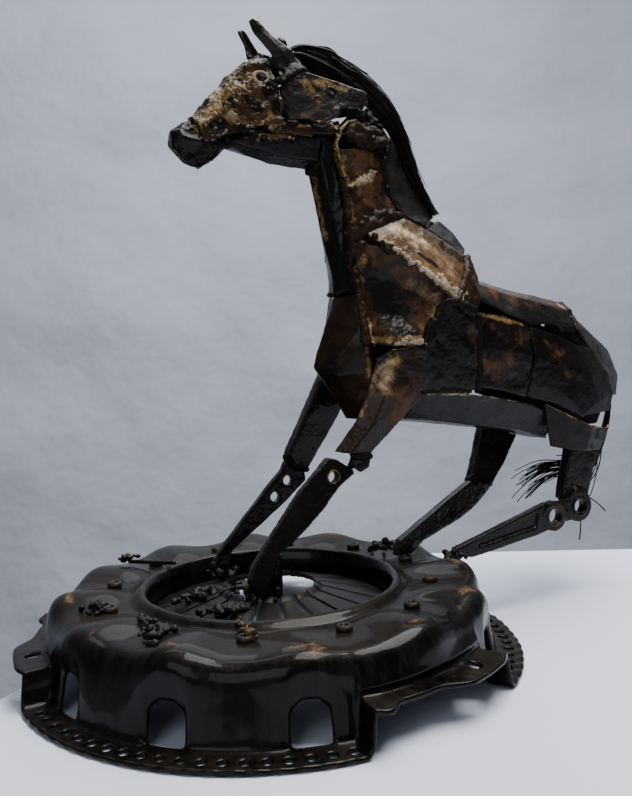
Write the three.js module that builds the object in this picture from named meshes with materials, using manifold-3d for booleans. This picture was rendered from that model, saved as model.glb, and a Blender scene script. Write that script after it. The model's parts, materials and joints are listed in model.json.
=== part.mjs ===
// Scrap metal horse, rearing back on its hind legs over a truck clutch cover.
// Millimetres, +Z up. The horse heads along -X, its left side is -Y, and its mid plane
// stands a little behind the axis of the clutch cover.
import * as THREE from "three";
import Module from "manifold-3d";
import { mergeVertices } from "three/addons/utils/BufferGeometryUtils.js";

const wasm = await Module();
wasm.setup();

// Driving sizes
const sheet = 2.5; // thickness of the scrap plates
const coverSheet = 4.5; // pressed steel of the clutch cover
const seam = 0.6; // how far a piece is grown before its neighbour is cut by it
const lobes = 12; // pressed ribs round the cover, one rivet between each two
const fingers = 18; // fingers of the diaphragm spring
const midPlane = 22; // the horse's mid plane, behind the cover's axis
const LEFT = -1;
const RIGHT = 1;

const cover = {
  flangeRadius: 237.5,
  wallFoot: 213,
  shoulder: 203,
  top: 66,
  bead: { radius: 123.5, height: 72 },
  throat: 113,
  lip: 47,
  raisedFlange: 29, // height of the flange where it is lifted off the ground
  raisedHalfAngle: 20,
  raisedAngles: [45, 165, 285],
  ribHeight: 7,
  ribBulge: 5,
};
const spring = { outer: 165, root: 112, tip: 43, outerTop: 41, rootTop: 45.5, tipTop: 66, slot: 3.2 };
const rivet = { circle: 154, radius: 7.5, shank: 3.5 };
const windowSize = { width: 31, height: 32, corner: 9, bottom: 5.2 };

// Paint and metal of the pieces
const metal = (color, roughness) => new THREE.MeshStandardMaterial({ color, roughness, metalness: 0.8 });
const paint = {
  blackGloss: metal(0x17161a, 0.3),
  blackScale: metal(0x1b1815, 0.5),
  umber: metal(0x3a2a1c, 0.5),
  goldWeld: metal(0x6e5536, 0.45),
  cream: metal(0xa08c74, 0.4),
  grey: metal(0x57534e, 0.45),
  belly: metal(0x2c2730, 0.5),
};

const pieces = []; // finished pieces, each cutting the ones that come after it

// ---------------------------------------------------------------- geometry helpers

function indexed(positions, triangles) {
  const geometry = new THREE.BufferGeometry();
  geometry.setAttribute("position", new THREE.Float32BufferAttribute(positions, 3));
  geometry.setIndex(triangles);
  return geometry;
}

function welded(geometry) {
  const copy = geometry.clone();
  copy.deleteAttribute("normal");
  copy.deleteAttribute("uv");
  const merged = mergeVertices(copy, 1e-4);
  const index = Array.from(merged.index.array);
  const kept = [];
  for (let i = 0; i < index.length; i += 3) {
    const [a, b, c] = index.slice(i, i + 3);
    if (a !== b && b !== c && c !== a) kept.push(a, b, c);
  }
  merged.setIndex(kept);
  return merged;
}

function toSolid(geometry) {
  const merged = welded(geometry);
  const mesh = new wasm.Mesh({
    numProp: 3,
    vertProperties: new Float32Array(merged.attributes.position.array),
    triVerts: new Uint32Array(merged.index.array),
  });
  return new wasm.Manifold(mesh);
}

function toGeometry(solid) {
  const mesh = solid.getMesh();
  return indexed(Array.from(mesh.vertProperties), Array.from(mesh.triVerts));
}

// The same closed shape with every point moved out along its normal
function grown(geometry, distance) {
  const merged = welded(geometry);
  merged.computeVertexNormals();
  const point = new THREE.Vector3();
  const normal = new THREE.Vector3();
  const place = merged.attributes.position;
  for (let i = 0; i < place.count; i += 1) {
    point.fromBufferAttribute(place, i);
    normal.fromBufferAttribute(merged.attributes.normal, i);
    point.addScaledVector(normal, distance);
    place.setXYZ(i, point.x, point.y, point.z);
  }
  return merged;
}

// A closed plate: a grid of outer points, thickened away from the outward direction
function plate(grid, thickness, outward) {
  const rows = grid.length;
  const columns = grid[0].length;
  const outer = grid.flat();
  const normals = outer.map(() => new THREE.Vector3());
  const at = (i, j) => i * columns + j;
  const faces = [];
  for (let i = 0; i < rows - 1; i += 1) {
    for (let j = 0; j < columns - 1; j += 1) {
      faces.push([at(i, j), at(i, j + 1), at(i + 1, j + 1)]);
      faces.push([at(i, j), at(i + 1, j + 1), at(i + 1, j)]);
    }
  }
  const total = new THREE.Vector3();
  for (const [a, b, c] of faces) {
    const normal = outer[b].clone().sub(outer[a]).cross(outer[c].clone().sub(outer[a]));
    for (const corner of [a, b, c]) {
      normals[corner].add(normal);
    }
    total.add(normal);
  }
  const turn = total.dot(new THREE.Vector3(...outward)) > 0 ? 1 : -1;
  const inner = outer.map((point, i) => point.clone().addScaledVector(normals[i].normalize(), -turn * thickness));
  const rim = [];
  for (let j = 0; j < columns - 1; j += 1) rim.push(at(0, j));
  for (let i = 0; i < rows - 1; i += 1) rim.push(at(i, columns - 1));
  for (let j = columns - 1; j > 0; j -= 1) rim.push(at(rows - 1, j));
  for (let i = rows - 1; i > 0; i -= 1) rim.push(at(i, 0));
  const count = outer.length;
  const all = [];
  for (const [a, b, c] of faces) {
    all.push([a, b, c], [c + count, b + count, a + count]);
  }
  rim.forEach((a, k) => {
    const b = rim[(k + 1) % rim.length];
    all.push([b, a, a + count], [b, a + count, b + count]);
  });
  const triangles = all.flatMap(([a, b, c]) => (turn > 0 ? [a, b, c] : [c, b, a]));
  return indexed([...outer, ...inner].flatMap((point) => point.toArray()), triangles);
}

// A closed loft: rings of equal length, capped at both ends, or closed on itself
function loft(rings, closed = false) {
  const size = rings[0].length;
  const triangles = [];
  const spans = closed ? rings.length : rings.length - 1;
  for (let i = 0; i < spans; i += 1) {
    const here = i * size;
    const next = ((i + 1) % rings.length) * size;
    for (let j = 0; j < size; j += 1) {
      const k = (j + 1) % size;
      triangles.push(here + j, here + k, next + k, here + j, next + k, next + j);
    }
  }
  if (!closed) {
    const last = (rings.length - 1) * size;
    for (let j = 1; j < size - 1; j += 1) {
      triangles.push(0, j + 1, j, last, last + j, last + j + 1);
    }
  }
  const geometry = indexed(rings.flat().flatMap((point) => point.toArray()), triangles);
  return toSolid(geometry).volume() > 0 ? geometry : flipped(geometry);
}

function flipped(geometry) {
  const index = Array.from(geometry.index.array);
  for (let i = 0; i < index.length; i += 3) {
    [index[i], index[i + 2]] = [index[i + 2], index[i]];
  }
  geometry.setIndex(index);
  return geometry;
}

const joined = (first, ...others) => toGeometry(others.reduce((sum, one) => sum.add(toSolid(one)), toSolid(first)));
const cutBy = (first, ...others) => toGeometry(others.reduce((rest, one) => rest.subtract(toSolid(one)), toSolid(first)));

// A flat outline in the X-Z plane, given depth along Y. "half" gives the distance of its
// middle from the mid plane at each point, so the piece can lean or twist.
function slab(outline, depth, side, half, holes = []) {
  const corners = outline.map(([x, z]) => new THREE.Vector2(x, z));
  const shape = new THREE.Shape(corners);
  const clockwise = !THREE.ShapeUtils.isClockWise(corners);
  for (const [x, z, radius] of holes) {
    const hole = new THREE.Path();
    hole.absarc(x, z, radius, 0, 2 * Math.PI, clockwise);
    shape.holes.push(hole);
  }
  const geometry = new THREE.ExtrudeGeometry(shape, { depth, bevelEnabled: false, curveSegments: 5 });
  geometry.translate(0, 0, -depth / 2);
  geometry.rotateX(Math.PI / 2);
  return leaned(geometry, side, half);
}

function leaned(geometry, side, half) {
  const place = geometry.attributes.position;
  for (let i = 0; i < place.count; i += 1) {
    const x = place.getX(i);
    const z = place.getZ(i);
    place.setY(i, place.getY(i) + side * half(x, z));
  }
  return geometry;
}

const onSide = (side, rows) => rows.map((row) => row.map(([x, half, z]) => new THREE.Vector3(x, half * side, z)));

// Rows given from the left edge to the mid plane, repeated mirrored on the right
function bothSides(rows) {
  return rows.map((row) => {
    const left = row.map(([x, half, z]) => new THREE.Vector3(x, -half, z));
    const right = row.slice(0, -1).reverse().map(([x, half, z]) => new THREE.Vector3(x, half, z));
    return [...left, ...right];
  });
}

// Adds a piece, cut back where it would run into one already there
function add(name, geometry, material, group = "horse") {
  const moved = geometry.clone();
  if (group === "horse") moved.translate(0, midPlane, 0);
  let solid = toSolid(moved);
  moved.computeBoundingBox();
  for (const other of pieces) {
    if (other.reach.intersectsBox(moved.boundingBox)) solid = solid.subtract(other.cutter);
  }
  const bodies = solid.decompose();
  bodies.sort((a, b) => b.volume() - a.volume());
  const kept = toGeometry(bodies[0].simplify(0.02));
  const reach = grown(kept, seam);
  reach.computeBoundingBox();
  const cutter = toSolid(reach).add(toSolid(kept));
  pieces.push({ name, geometry: kept, material, cutter, reach: reach.boundingBox });
}

const panel = (name, side, rows, material, thickness = sheet) =>
  add(name, plate(onSide(side, rows), thickness, [0, side, 0.2]), material);
const saddle = (name, rows, outward, material, thickness = sheet) =>
  add(name, plate(bothSides(rows), thickness, outward), material);
const pair = (name, rows, material, thickness = sheet) => {
  panel(`${name}_left`, LEFT, rows, material, thickness);
  panel(`${name}_right`, RIGHT, rows, material, thickness);
};

// ---------------------------------------------------------------- clutch cover

const radians = THREE.MathUtils.degToRad;
const polar = (radius, degrees, z) =>
  new THREE.Vector3(radius * Math.cos(radians(degrees)), radius * Math.sin(radians(degrees)), z);

function coverRing(degrees, raised) {
  const rib = (0.5 + 0.5 * Math.cos(radians(lobes * (degrees - 15)))) ** 1.4;
  const lift = cover.ribHeight * rib;
  const bulge = cover.ribBulge * rib;
  const floor = raised ? cover.raisedFlange : 0;
  const foot = cover.wallFoot - (raised ? 5 : 0);
  const { top, bead, throat, lip } = cover;
  const outside = [
    [cover.flangeRadius, floor],
    [cover.flangeRadius, floor + coverSheet],
    [foot, floor + coverSheet + (raised ? 3 : 0)],
    [cover.shoulder + bulge, top - 14],
    [cover.shoulder - 7 + bulge, top - 3 + lift],
    [cover.shoulder - 20, top + lift],
    [148, top + 0.8 * lift],
    [132, top - 1.5],
    [bead.radius, bead.height],
    [throat + 4.5, bead.height - 4],
    [throat, lip],
  ];
  const inside = [
    [throat + coverSheet, lip],
    [bead.radius, bead.height - coverSheet - 1],
    [132, top - 1.5 - coverSheet],
    [cover.shoulder - 22, top + lift - coverSheet],
    [cover.shoulder - coverSheet + bulge, top - 16],
    [foot - coverSheet, floor],
  ];
  return [...outside, ...inside].map(([radius, z]) => polar(radius, degrees, z));
}

function coverColumns() {
  const columns = [];
  for (let degrees = 0; degrees < 360; degrees += 6) {
    const raised = cover.raisedAngles.some((middle) => Math.abs(degrees - middle) < cover.raisedHalfAngle);
    columns.push([degrees, raised]);
  }
  for (const middle of cover.raisedAngles) {
    for (const way of [-1, 1]) {
      const edge = middle + way * cover.raisedHalfAngle;
      columns.push([edge + 0.3 * way, false], [edge - 0.3 * way, true]);
    }
  }
  return columns.sort((a, b) => a[0] - b[0]);
}

function windowCutter(degrees) {
  const { width, height, corner, bottom } = windowSize;
  const shape = new THREE.Shape();
  shape.moveTo(-width / 2, bottom);
  shape.lineTo(width / 2, bottom);
  shape.lineTo(width / 2, bottom + height - corner);
  shape.lineTo(width / 2 - corner, bottom + height);
  shape.lineTo(corner - width / 2, bottom + height);
  shape.lineTo(-width / 2, bottom + height - corner);
  const geometry = new THREE.ExtrudeGeometry(shape, { depth: 40, bevelEnabled: false });
  geometry.rotateX(Math.PI / 2);
  geometry.rotateZ(Math.PI / 2);
  geometry.translate(190, 0, 0);
  geometry.rotateZ(radians(degrees));
  return geometry;
}

function boltHole(degrees) {
  const geometry = new THREE.CylinderGeometry(5.5, 5.5, 30, 10);
  geometry.rotateX(Math.PI / 2);
  geometry.translate(219, 0, cover.raisedFlange);
  geometry.rotateZ(radians(degrees));
  return geometry;
}

function clutchCover() {
  const shell = loft(coverColumns().map(([degrees, raised]) => coverRing(degrees, raised)), true);
  const windows = [];
  for (let k = 0; k < lobes; k += 1) {
    const middle = 15 + (360 / lobes) * k;
    if (!cover.raisedAngles.includes(middle)) windows.push(windowCutter(middle));
  }
  return cutBy(shell, ...windows, ...cover.raisedAngles.map((middle) => boltHole(middle + 10)));
}

// ---------------------------------------------------------------- diaphragm spring

function diaphragmSpring() {
  const section = [
    [spring.outer, spring.outerTop],
    [spring.root, spring.rootTop],
    [spring.tip + 9, spring.tipTop - 5],
    [spring.tip, spring.tipTop],
  ];
  const under = section.map(([radius, z]) => [radius, z - 4]).reverse();
  const rings = [];
  for (let k = 0; k < 2 * fingers; k += 1) {
    rings.push([...section, ...under].map(([radius, z]) => polar(radius, (180 / fingers) * k + 6, z)));
  }
  const slots = [];
  for (let k = 0; k < fingers; k += 1) {
    const length = spring.root - 8 - 30;
    const slot = new THREE.BoxGeometry(length, spring.slot, 60);
    slot.translate(30 + length / 2, 0, 50);
    slot.rotateZ(radians((360 / fingers) * k - 4));
    slots.push(slot);
  }
  return cutBy(loft(rings, true), ...slots);
}

function rivetSolid(degrees) {
  const bottom = spring.outerTop + 1.5 - cover.top;
  const profile = [
    [0, bottom],
    [rivet.shank, bottom],
    [rivet.shank, 0.6],
    [rivet.radius, 0.6],
    [rivet.radius - 1.2, 4.4],
    [0, 4.4],
  ];
  const geometry = new THREE.LatheGeometry(profile.map(([x, y]) => new THREE.Vector2(x, y)), 6);
  geometry.rotateX(Math.PI / 2);
  geometry.translate(rivet.circle, 0, cover.top + 0.4);
  geometry.rotateZ(radians(degrees));
  return geometry;
}

for (let k = 0; k < lobes; k += 1) {
  add(`rivet_${String(k + 1).padStart(2, "0")}`, rivetSolid((360 / lobes) * k), paint.blackScale, "base");
}
add("clutch_cover", clutchCover(), paint.blackGloss, "base");
add("diaphragm_spring", diaphragmSpring(), paint.blackScale, "base");

// ---------------------------------------------------------------- head

function muzzle() {
  const rings = [
    { x: -71, low: 481, high: 497, half: 8 },
    { x: -64, low: 474, high: 503, half: 13 },
    { x: -54, low: 467, high: 508, half: 15 },
    { x: -44, low: 464, high: 508, half: 15 },
    { x: -32, low: 473, high: 508, half: 14 },
    { x: -18, low: 485, high: 506, half: 12 },
  ];
  return loft(rings.map(({ x, low, high, half }) => {
    const middle = (low + high) / 2;
    const ring = [];
    for (let k = 0; k < 10; k += 1) {
      const angle = (2 * Math.PI * k) / 10;
      ring.push(new THREE.Vector3(x, half * Math.cos(angle), middle + ((high - low) / 2) * Math.sin(angle)));
    }
    return ring;
  }));
}

saddle("face_plate", [
  [[-43, 14, 489], [-47, 16, 500], [-49, 9, 508], [-50, 0, 511]],
  [[-22, 17, 493], [-28, 17, 513], [-30, 9, 531], [-31, 0, 534]],
  [[-3, 20, 500], [-8, 19, 527], [-11, 10, 549], [-12, 0, 553]],
  [[16, 22, 505], [12, 20, 540], [8, 11, 566], [7, 0, 570]],
  [[33, 23, 511], [32, 22, 543], [25, 13, 570], [22, 0, 577]],
], [-1, 0, 1], paint.goldWeld, 3);

add("muzzle", muzzle(), paint.blackScale);

saddle("jaw_trough", [
  [[-16, 14, 490], [-15, 11, 487], [-14, 0, 486]],
  [[4, 18, 496], [4, 14, 484], [3, 0, 480]],
  [[28, 20, 498], [28, 15, 479], [28, 0, 473]],
  [[50, 20, 498], [50, 15, 477], [50, 0, 471]],
  [[76, 20, 496], [74, 16, 476], [70, 0, 470]],
], [0, 0, -1], paint.blackScale);

saddle("skull_cap", [
  [[35, 23, 545], [29, 13, 571], [25, 0, 578]],
  [[48, 21, 556], [46, 13, 573], [45, 0, 581]],
  [[62, 18, 561], [62, 10, 575], [62, 0, 583]],
], [0, 0, 1], paint.blackScale);

panel("ear_left", LEFT, [
  [[34, 17, 563], [42, 21, 561], [56, 17, 567]],
  [[22, 18, 577], [36, 22, 575], [49, 18, 579]],
  [[8, 20, 589], [18, 23, 588], [27, 20, 590]],
  [[3, 22, 598], [7, 24, 601], [14, 22, 600]],
], paint.grey);

panel("ear_right", RIGHT, [
  [[14, 14, 576], [24, 17, 575], [32, 14, 578]],
  [[12, 15, 589], [17, 18, 589], [24, 15, 589]],
  [[6, 16, 602], [9, 18, 605], [14, 16, 604]],
], paint.blackScale);

const knob = new THREE.IcosahedronGeometry(6.5, 1);
knob.translate(44, -3, 589);
add("poll_knob", knob, paint.grey);

const cheekOutline = [
  [34, 519], [34, 540], [37, 548], [57, 560], [95, 554], [129, 546],
  [130, 532], [112, 529], [99, 527], [92, 517], [75, 509], [58, 513], [41, 511],
];
const cheekHalf = (x, z) => 24 - 0.12 * (z - 512) - 0.03 * Math.max(0, x - 60);
add("cheek_plate_left", slab(cheekOutline, 3, LEFT, cheekHalf, [[88, 541, 3]]), paint.grey);
add("cheek_plate_right", slab(cheekOutline, 3, RIGHT, cheekHalf), paint.grey);

const cheekBar = [[19, 500], [18, 508], [40, 509], [74, 507], [94, 510], [95, 501], [60, 499]];
add("cheek_bar_left", slab(cheekBar, 5, LEFT, () => 21), paint.umber);

// ---------------------------------------------------------------- neck and shoulders

panel("neck_collar_left", LEFT, [
  [[99, 26, 460], [99, 16, 460]],
  [[93, 27, 477], [93, 17, 478]],
  [[91, 26, 492], [92, 16, 492]],
  [[98, 24, 506], [99, 14, 505]],
  [[108, 21, 514], [108, 11, 513]],
  [[119, 18, 517], [119, 9, 516]],
], paint.goldWeld, 3);

const neckSide = [
  [[91, 19, 487], [110, 21, 490], [128, 19, 494], [157, 15, 503]],
  [[95, 21, 460], [112, 24, 460], [132, 22, 463], [149, 16, 476]],
  [[98, 23, 436], [112, 27, 436], [132, 25, 441], [152, 18, 447]],
  [[100, 28, 378], [113, 34, 404], [140, 29, 416], [166, 20, 424]],
];
const neckTopRight = [[90, 17, 507], [108, 17, 516], [126, 15, 533], [158, 10, 520]];
panel("neck_side_left", LEFT, neckSide, paint.umber);
panel("neck_side_right", RIGHT, [neckTopRight, ...neckSide], paint.umber);

saddle("neck_front_plate", [
  [[88, 18, 507], [80, 14, 500], [72, 0, 494]],
  [[89, 18, 486], [78, 14, 478], [68, 0, 471]],
  [[96, 21, 436], [88, 15, 424], [78, 0, 420]],
  [[99, 27, 378], [96, 17, 370], [92, 0, 364]],
  [[103, 29, 347], [96, 18, 346], [92, 0, 345]],
], [-1, 0, 0], paint.blackScale);

saddle("chest_plate", [
  [[116, 26, 345], [103, 30, 345], [96, 18, 344], [92, 0, 343]],
  [[115, 29, 312], [102, 38, 310], [91, 22, 308], [80, 0, 310]],
  [[122, 36, 288], [104, 42, 288], [83, 24, 284], [70, 0, 286]],
  [[126, 39, 264], [107, 41, 266], [82, 22, 264], [66, 0, 273]],
  [[128, 35, 243], [112, 36, 243], [103, 18, 232], [95, 0, 230]],
  [[132, 29, 224], [120, 30, 222], [110, 16, 217], [102, 0, 217]],
], [-1, 0, 0], paint.umber);

saddle("crest_plate", [
  [[160, 14, 503], [170, 0, 508]],
  [[150, 16, 476], [181, 0, 476]],
  [[154, 18, 447], [199, 0, 452]],
  [[168, 20, 425], [210, 0, 438]],
  [[190, 20, 414], [219, 0, 428]],
], [1, 0, 1], paint.grey);

pair("shoulder_top", [
  [[114, 37, 403], [128, 32, 411], [143, 28, 416]],
  [[135, 46, 388], [150, 38, 402], [167, 21, 423]],
  [[157, 54, 373], [176, 42, 392], [190, 22, 413]],
  [[180, 59, 352], [200, 45, 376], [214, 24, 400]],
  [[199, 62, 335], [222, 47, 362], [236, 28, 385]],
], paint.cream);

// The right hand plate stops a little further back than the left one
const shoulderPanel = (setBack) => [
  [[106 + setBack, 36, 394], [135, 47, 386], [157, 55, 371], [198, 62, 333]],
  [[100 + setBack, 33, 368], [125, 35, 360], [150, 42, 350], [188, 58, 325]],
  [[102 + setBack, 41, 320], [122, 34, 325], [148, 40, 322], [180, 61, 312]],
  [[101 + setBack, 43, 296], [125, 49, 292], [150, 55, 291], [171, 58, 293]],
];
panel("shoulder_panel_left", LEFT, shoulderPanel(0), paint.umber);
panel("shoulder_panel_right", RIGHT, shoulderPanel(10), paint.umber);

pair("shoulder_cap", [
  [[200, 62, 333], [223, 48, 361], [237, 29, 384]],
  [[214, 61, 322], [233, 51, 350], [243, 32, 379]],
  [[226, 55, 318], [241, 50, 336], [247, 37, 360]],
], paint.umber);

const withers = [
  [[196, -18, 412], [209, 4, 421], [206, 27, 405]],
  [[212, -21, 403], [229, 6, 426], [222, 31, 401]],
  [[226, -23, 394], [247, 6, 414], [240, 31, 389]],
  [[238, -26, 385], [262, 4, 394], [254, 28, 373]],
];
add("withers_lobe", plate(onSide(RIGHT, withers), sheet, [0, 0, 1]), paint.blackScale);

pair("girth_panel", [
  [[190, 57, 333], [208, 58, 330], [232, 51, 325]],
  [[172, 55, 308], [205, 54, 300], [240, 51, 296]],
  [[162, 54, 280], [204, 51, 272], [240, 50, 262]],
  [[162, 47, 243], [202, 47, 241], [240, 47, 240]],
], paint.blackScale);

// ---------------------------------------------------------------- barrel and haunches

saddle("back_plate", [
  [[249, 37, 337], [250, 21, 357], [252, 0, 366]],
  [[285, 37, 321], [290, 20, 345], [292, 0, 355]],
  [[316, 38, 309], [318, 22, 338], [318, 0, 349]],
  [[352, 34, 308], [355, 20, 330], [356, 0, 342]],
  [[386, 31, 305], [392, 18, 322], [396, 0, 334]],
], [0, 0, 1], paint.grey);

saddle("rump_strap", [
  [[389, 32, 302], [394, 18, 320], [398, 0, 333]],
  [[404, 36, 280], [420, 18, 298], [428, 0, 306]],
  [[418, 35, 263], [448, 16, 268], [468, 0, 275]],
  [[434, 32, 250], [462, 14, 244], [484, 0, 244]],
  [[449, 25, 232], [462, 12, 220], [481, 0, 218]],
], [1, 0, 1], paint.grey);

pair("side_plate", [
  [[233, 50, 323], [275, 45, 318], [310, 41, 308]],
  [[236, 53, 285], [275, 55, 282], [306, 53, 275]],
  [[234, 49, 244], [270, 50, 237], [298, 49, 229]],
], paint.umber);

pair("haunch_plate", [
  [[312, 41, 306], [345, 44, 297], [377, 43, 284], [402, 39, 278]],
  [[308, 53, 274], [345, 57, 262], [385, 55, 250], [417, 41, 258]],
  [[302, 50, 242], [345, 56, 232], [398, 53, 217], [448, 28, 226]],
  [[300, 48, 230], [338, 52, 219], [372, 54, 202], [444, 25, 203]],
], paint.blackScale);

saddle("belly_plate", [
  [[134, 40, 242], [134, 20, 217], [134, 0, 214]],
  [[190, 46, 242], [189, 26, 210], [189, 0, 207]],
  [[253, 47, 233], [253, 26, 200], [253, 0, 197]],
  [[308, 46, 221], [308, 26, 191], [308, 0, 188]],
  [[340, 44, 206], [346, 26, 178], [347, 0, 177]],
], [0, 0, -1], paint.belly);

panel("thigh_cup", LEFT, [
  [[324, 47, 221], [350, 58, 207], [380, 61, 193], [412, 53, 187], [434, 35, 188]],
  [[329, 45, 196], [351, 55, 187], [380, 58, 178], [409, 50, 174], [424, 36, 174]],
  [[336, 42, 171], [352, 50, 167], [380, 53, 163], [405, 46, 161], [414, 37, 161]],
], paint.blackScale, 3);

// ---------------------------------------------------------------- legs

function forearmRows() {
  return [
    [[114, 44, 280], [128, 55, 288], [168, 57, 289]],
    [[106, 40, 245], [120, 53, 245], [163, 49, 237]],
    [[91, 38, 217], [106, 50, 215], [142, 46, 217]],
    [[68, 36, 190], [82, 46, 187], [105, 42, 184]],
  ];
}
panel("left_forearm", LEFT, forearmRows(), paint.umber, 3.5);

const leftCannon = [
  [51, 179], [58, 185], [67, 183], [84, 171], [84, 167], [66, 157], [47, 138], [29, 124], [15, 114],
  [-4, 103], [-18, 74], [-24, 67], [-30, 68], [-36, 84], [-31, 95], [-8, 121], [24, 156],
];
const leftCannonHalf = (x, z) => 42 + 0.19 * (170 - z);
add("left_cannon", slab(leftCannon, 10, LEFT, leftCannonHalf, [[60, 167, 5.7]]), paint.blackScale);

const kneeTab = [[88, 190], [106, 188], [104, 172], [94, 167], [82, 176]];
add("knee_tab", slab(kneeTab, 6, LEFT, () => 40), paint.blackScale);

const hub = new THREE.CylinderGeometry(12, 12, 40, 12);
hub.rotateX(Math.PI / 2);
hub.translate(-11, -50, 82);
add("foot_hub", hub, paint.blackScale);

const rightForearm = [[104, 282], [136, 258], [116, 219], [78, 160], [62, 166], [56, 180], [75, 220]];
add("right_forearm", slab(rightForearm, 16, RIGHT, (x, z) => 45 + 0.12 * (262 - z)), paint.blackScale);

const rightCannon = [
  [54, 170], [60, 175], [76, 160], [77, 149], [52, 129], [24, 109], [-12, 85], [-14, 61],
  [-32, 61], [-27, 84], [21, 134], [50, 163],
];
const rightCannonHalf = (x, z) => 57 - 0.04 * (165 - z);
const rightCannonHoles = [[56, 151, 5.5], [40, 135, 5.5]];
add("right_cannon", slab(rightCannon, 10, RIGHT, rightCannonHalf, rightCannonHoles), paint.blackScale);

const rightGaskin = [[300, 208], [346, 203], [339, 184], [313, 152], [288, 126], [263, 133], [271, 150], [291, 194]];
add("right_gaskin", slab(rightGaskin, 16, RIGHT, (x, z) => 12 + 0.2 * (z - 130)), paint.blackScale);

const rightHindCannon = [
  [270, 138], [292, 124], [282, 115], [264, 104], [240, 94], [185, 80], [166, 69], [146, 70], [151, 86],
  [223, 118], [246, 128],
];
add("right_hind_cannon", slab(rightHindCannon, 12, RIGHT, (x) => 12 - 0.2 * (275 - x)), paint.blackScale);

const hindPost = [[362, 186], [408, 186], [405, 162], [388, 110], [350, 110], [352, 124], [363, 166]];
add("left_hind_post", slab(hindPost, 14, LEFT, () => 38), paint.blackScale);

function hindLever() {
  const half = () => 48;
  const depth = 9;
  const disc = (x, z, radius, thick) => {
    const geometry = new THREE.CylinderGeometry(radius, radius, thick, 14);
    geometry.translate(x, 0, z);
    return leaned(geometry, LEFT, half);
  };
  const arm = slab([[197, 77], [203, 67], [222, 65], [316, 78], [334, 84], [334, 108], [320, 111]], depth, LEFT, half);
  const web = slab([[331, 84], [367, 88], [367, 116], [331, 108]], depth - 2, LEFT, half);
  const pocket = slab([[226, 75], [305, 86], [309, 102], [228, 81]], 6, LEFT, () => 52.5);
  const solid = joined(arm, web, disc(331, 95, 17, depth + 2), disc(367, 102, 18, depth + 2));
  return cutBy(solid, disc(331, 95, 9, 40), disc(367, 102, 8.5, 40), pocket);
}
add("left_hind_lever", hindLever(), paint.blackScale);

// ---------------------------------------------------------------- mane and tail

const maneOutline = [
  [56, 584], [62, 590], [90, 588], [108, 579], [124, 573], [148, 558], [168, 537], [184, 501], [196, 469],
  [217, 430], [207, 439], [184, 474], [172, 508], [148, 531], [131, 548], [96, 557], [64, 568],
];
add("mane", slab(maneOutline, 14, LEFT, () => 0), paint.blackScale);

function tail() {
  const path = new THREE.CatmullRomCurve3([
    new THREE.Vector3(462, -6, 208),
    new THREE.Vector3(442, -12, 168),
    new THREE.Vector3(418, -12, 136),
    new THREE.Vector3(392, -2, 138),
    new THREE.Vector3(360, 9, 134),
    new THREE.Vector3(330, 16, 116),
  ]);
  const section = new THREE.Shape();
  section.moveTo(6, 0);
  for (let k = 1; k < 6; k += 1) section.lineTo(6 * Math.cos((Math.PI * k) / 3), 6 * Math.sin((Math.PI * k) / 3));
  return new THREE.ExtrudeGeometry(section, { steps: 10, extrudePath: path });
}
add("tail", tail(), paint.blackScale);

// The pin rests on the cover's bead and slopes down outwards
const pin = new THREE.CylinderGeometry(2.2, 2.2, 62, 8);
pin.rotateZ(Math.PI / 2);
pin.rotateY(0.06);
pin.rotateZ(radians(127));
pin.translate(-85, 119, 73.4);
add("loose_pin", pin, paint.blackScale, "base");

// ---------------------------------------------------------------- assembly

const sculpture = new THREE.Group();
for (const { name, geometry, material } of pieces) {
  const mesh = new THREE.Mesh(geometry, material);
  mesh.name = name;
  sculpture.add(mesh);
}
const extent = new THREE.Box3().setFromObject(sculpture);
const middle = extent.getCenter(new THREE.Vector3());
sculpture.position.set(-middle.x, -middle.y, -extent.min.z);

export default sculpture;
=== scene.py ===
import json
import math
import random

import bmesh
import bpy
import numpy as np
from mathutils import Matrix, Vector
from mathutils.bvhtree import BVHTree
from mathutils.kdtree import KDTree


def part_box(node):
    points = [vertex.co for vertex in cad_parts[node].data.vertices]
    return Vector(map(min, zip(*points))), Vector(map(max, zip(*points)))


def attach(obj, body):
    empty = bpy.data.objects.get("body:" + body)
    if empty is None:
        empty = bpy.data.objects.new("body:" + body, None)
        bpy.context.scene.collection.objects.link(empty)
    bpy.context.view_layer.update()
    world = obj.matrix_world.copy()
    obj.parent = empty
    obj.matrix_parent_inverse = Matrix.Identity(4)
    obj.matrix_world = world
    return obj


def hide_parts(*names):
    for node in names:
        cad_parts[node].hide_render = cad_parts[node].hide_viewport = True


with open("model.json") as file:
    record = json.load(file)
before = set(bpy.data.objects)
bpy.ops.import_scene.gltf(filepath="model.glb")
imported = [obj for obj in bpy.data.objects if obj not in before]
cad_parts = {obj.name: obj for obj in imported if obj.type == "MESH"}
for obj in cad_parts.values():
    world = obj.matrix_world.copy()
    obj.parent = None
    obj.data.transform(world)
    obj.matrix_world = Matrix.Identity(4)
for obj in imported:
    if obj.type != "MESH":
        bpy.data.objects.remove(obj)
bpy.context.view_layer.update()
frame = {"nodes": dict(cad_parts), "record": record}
scene = bpy.context.scene
print("frame loaded:", len(frame["nodes"]), "nodes")

mm = 0.001
springLow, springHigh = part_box("diaphragm_spring")
hubX = (springLow.x + springHigh.x) / 2  # axis of the clutch cover
hubY = (springLow.y + springHigh.y) / 2
faceLow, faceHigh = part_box("face_plate")
midY = (faceLow.y + faceHigh.y) / 2  # mid plane of the horse
leftSide = -1
rightSide = 1


def at(x, y, z):
    # millimetres from the axis of the cover and the table
    return Vector((hubX + x * mm, hubY + y * mm, z * mm))


def beside(x, z, half, side=leftSide):
    # millimetres, half is the distance from the horse's mid plane
    return Vector((hubX + x * mm, midY + side * half * mm, z * mm))


# shader wiring


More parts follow.
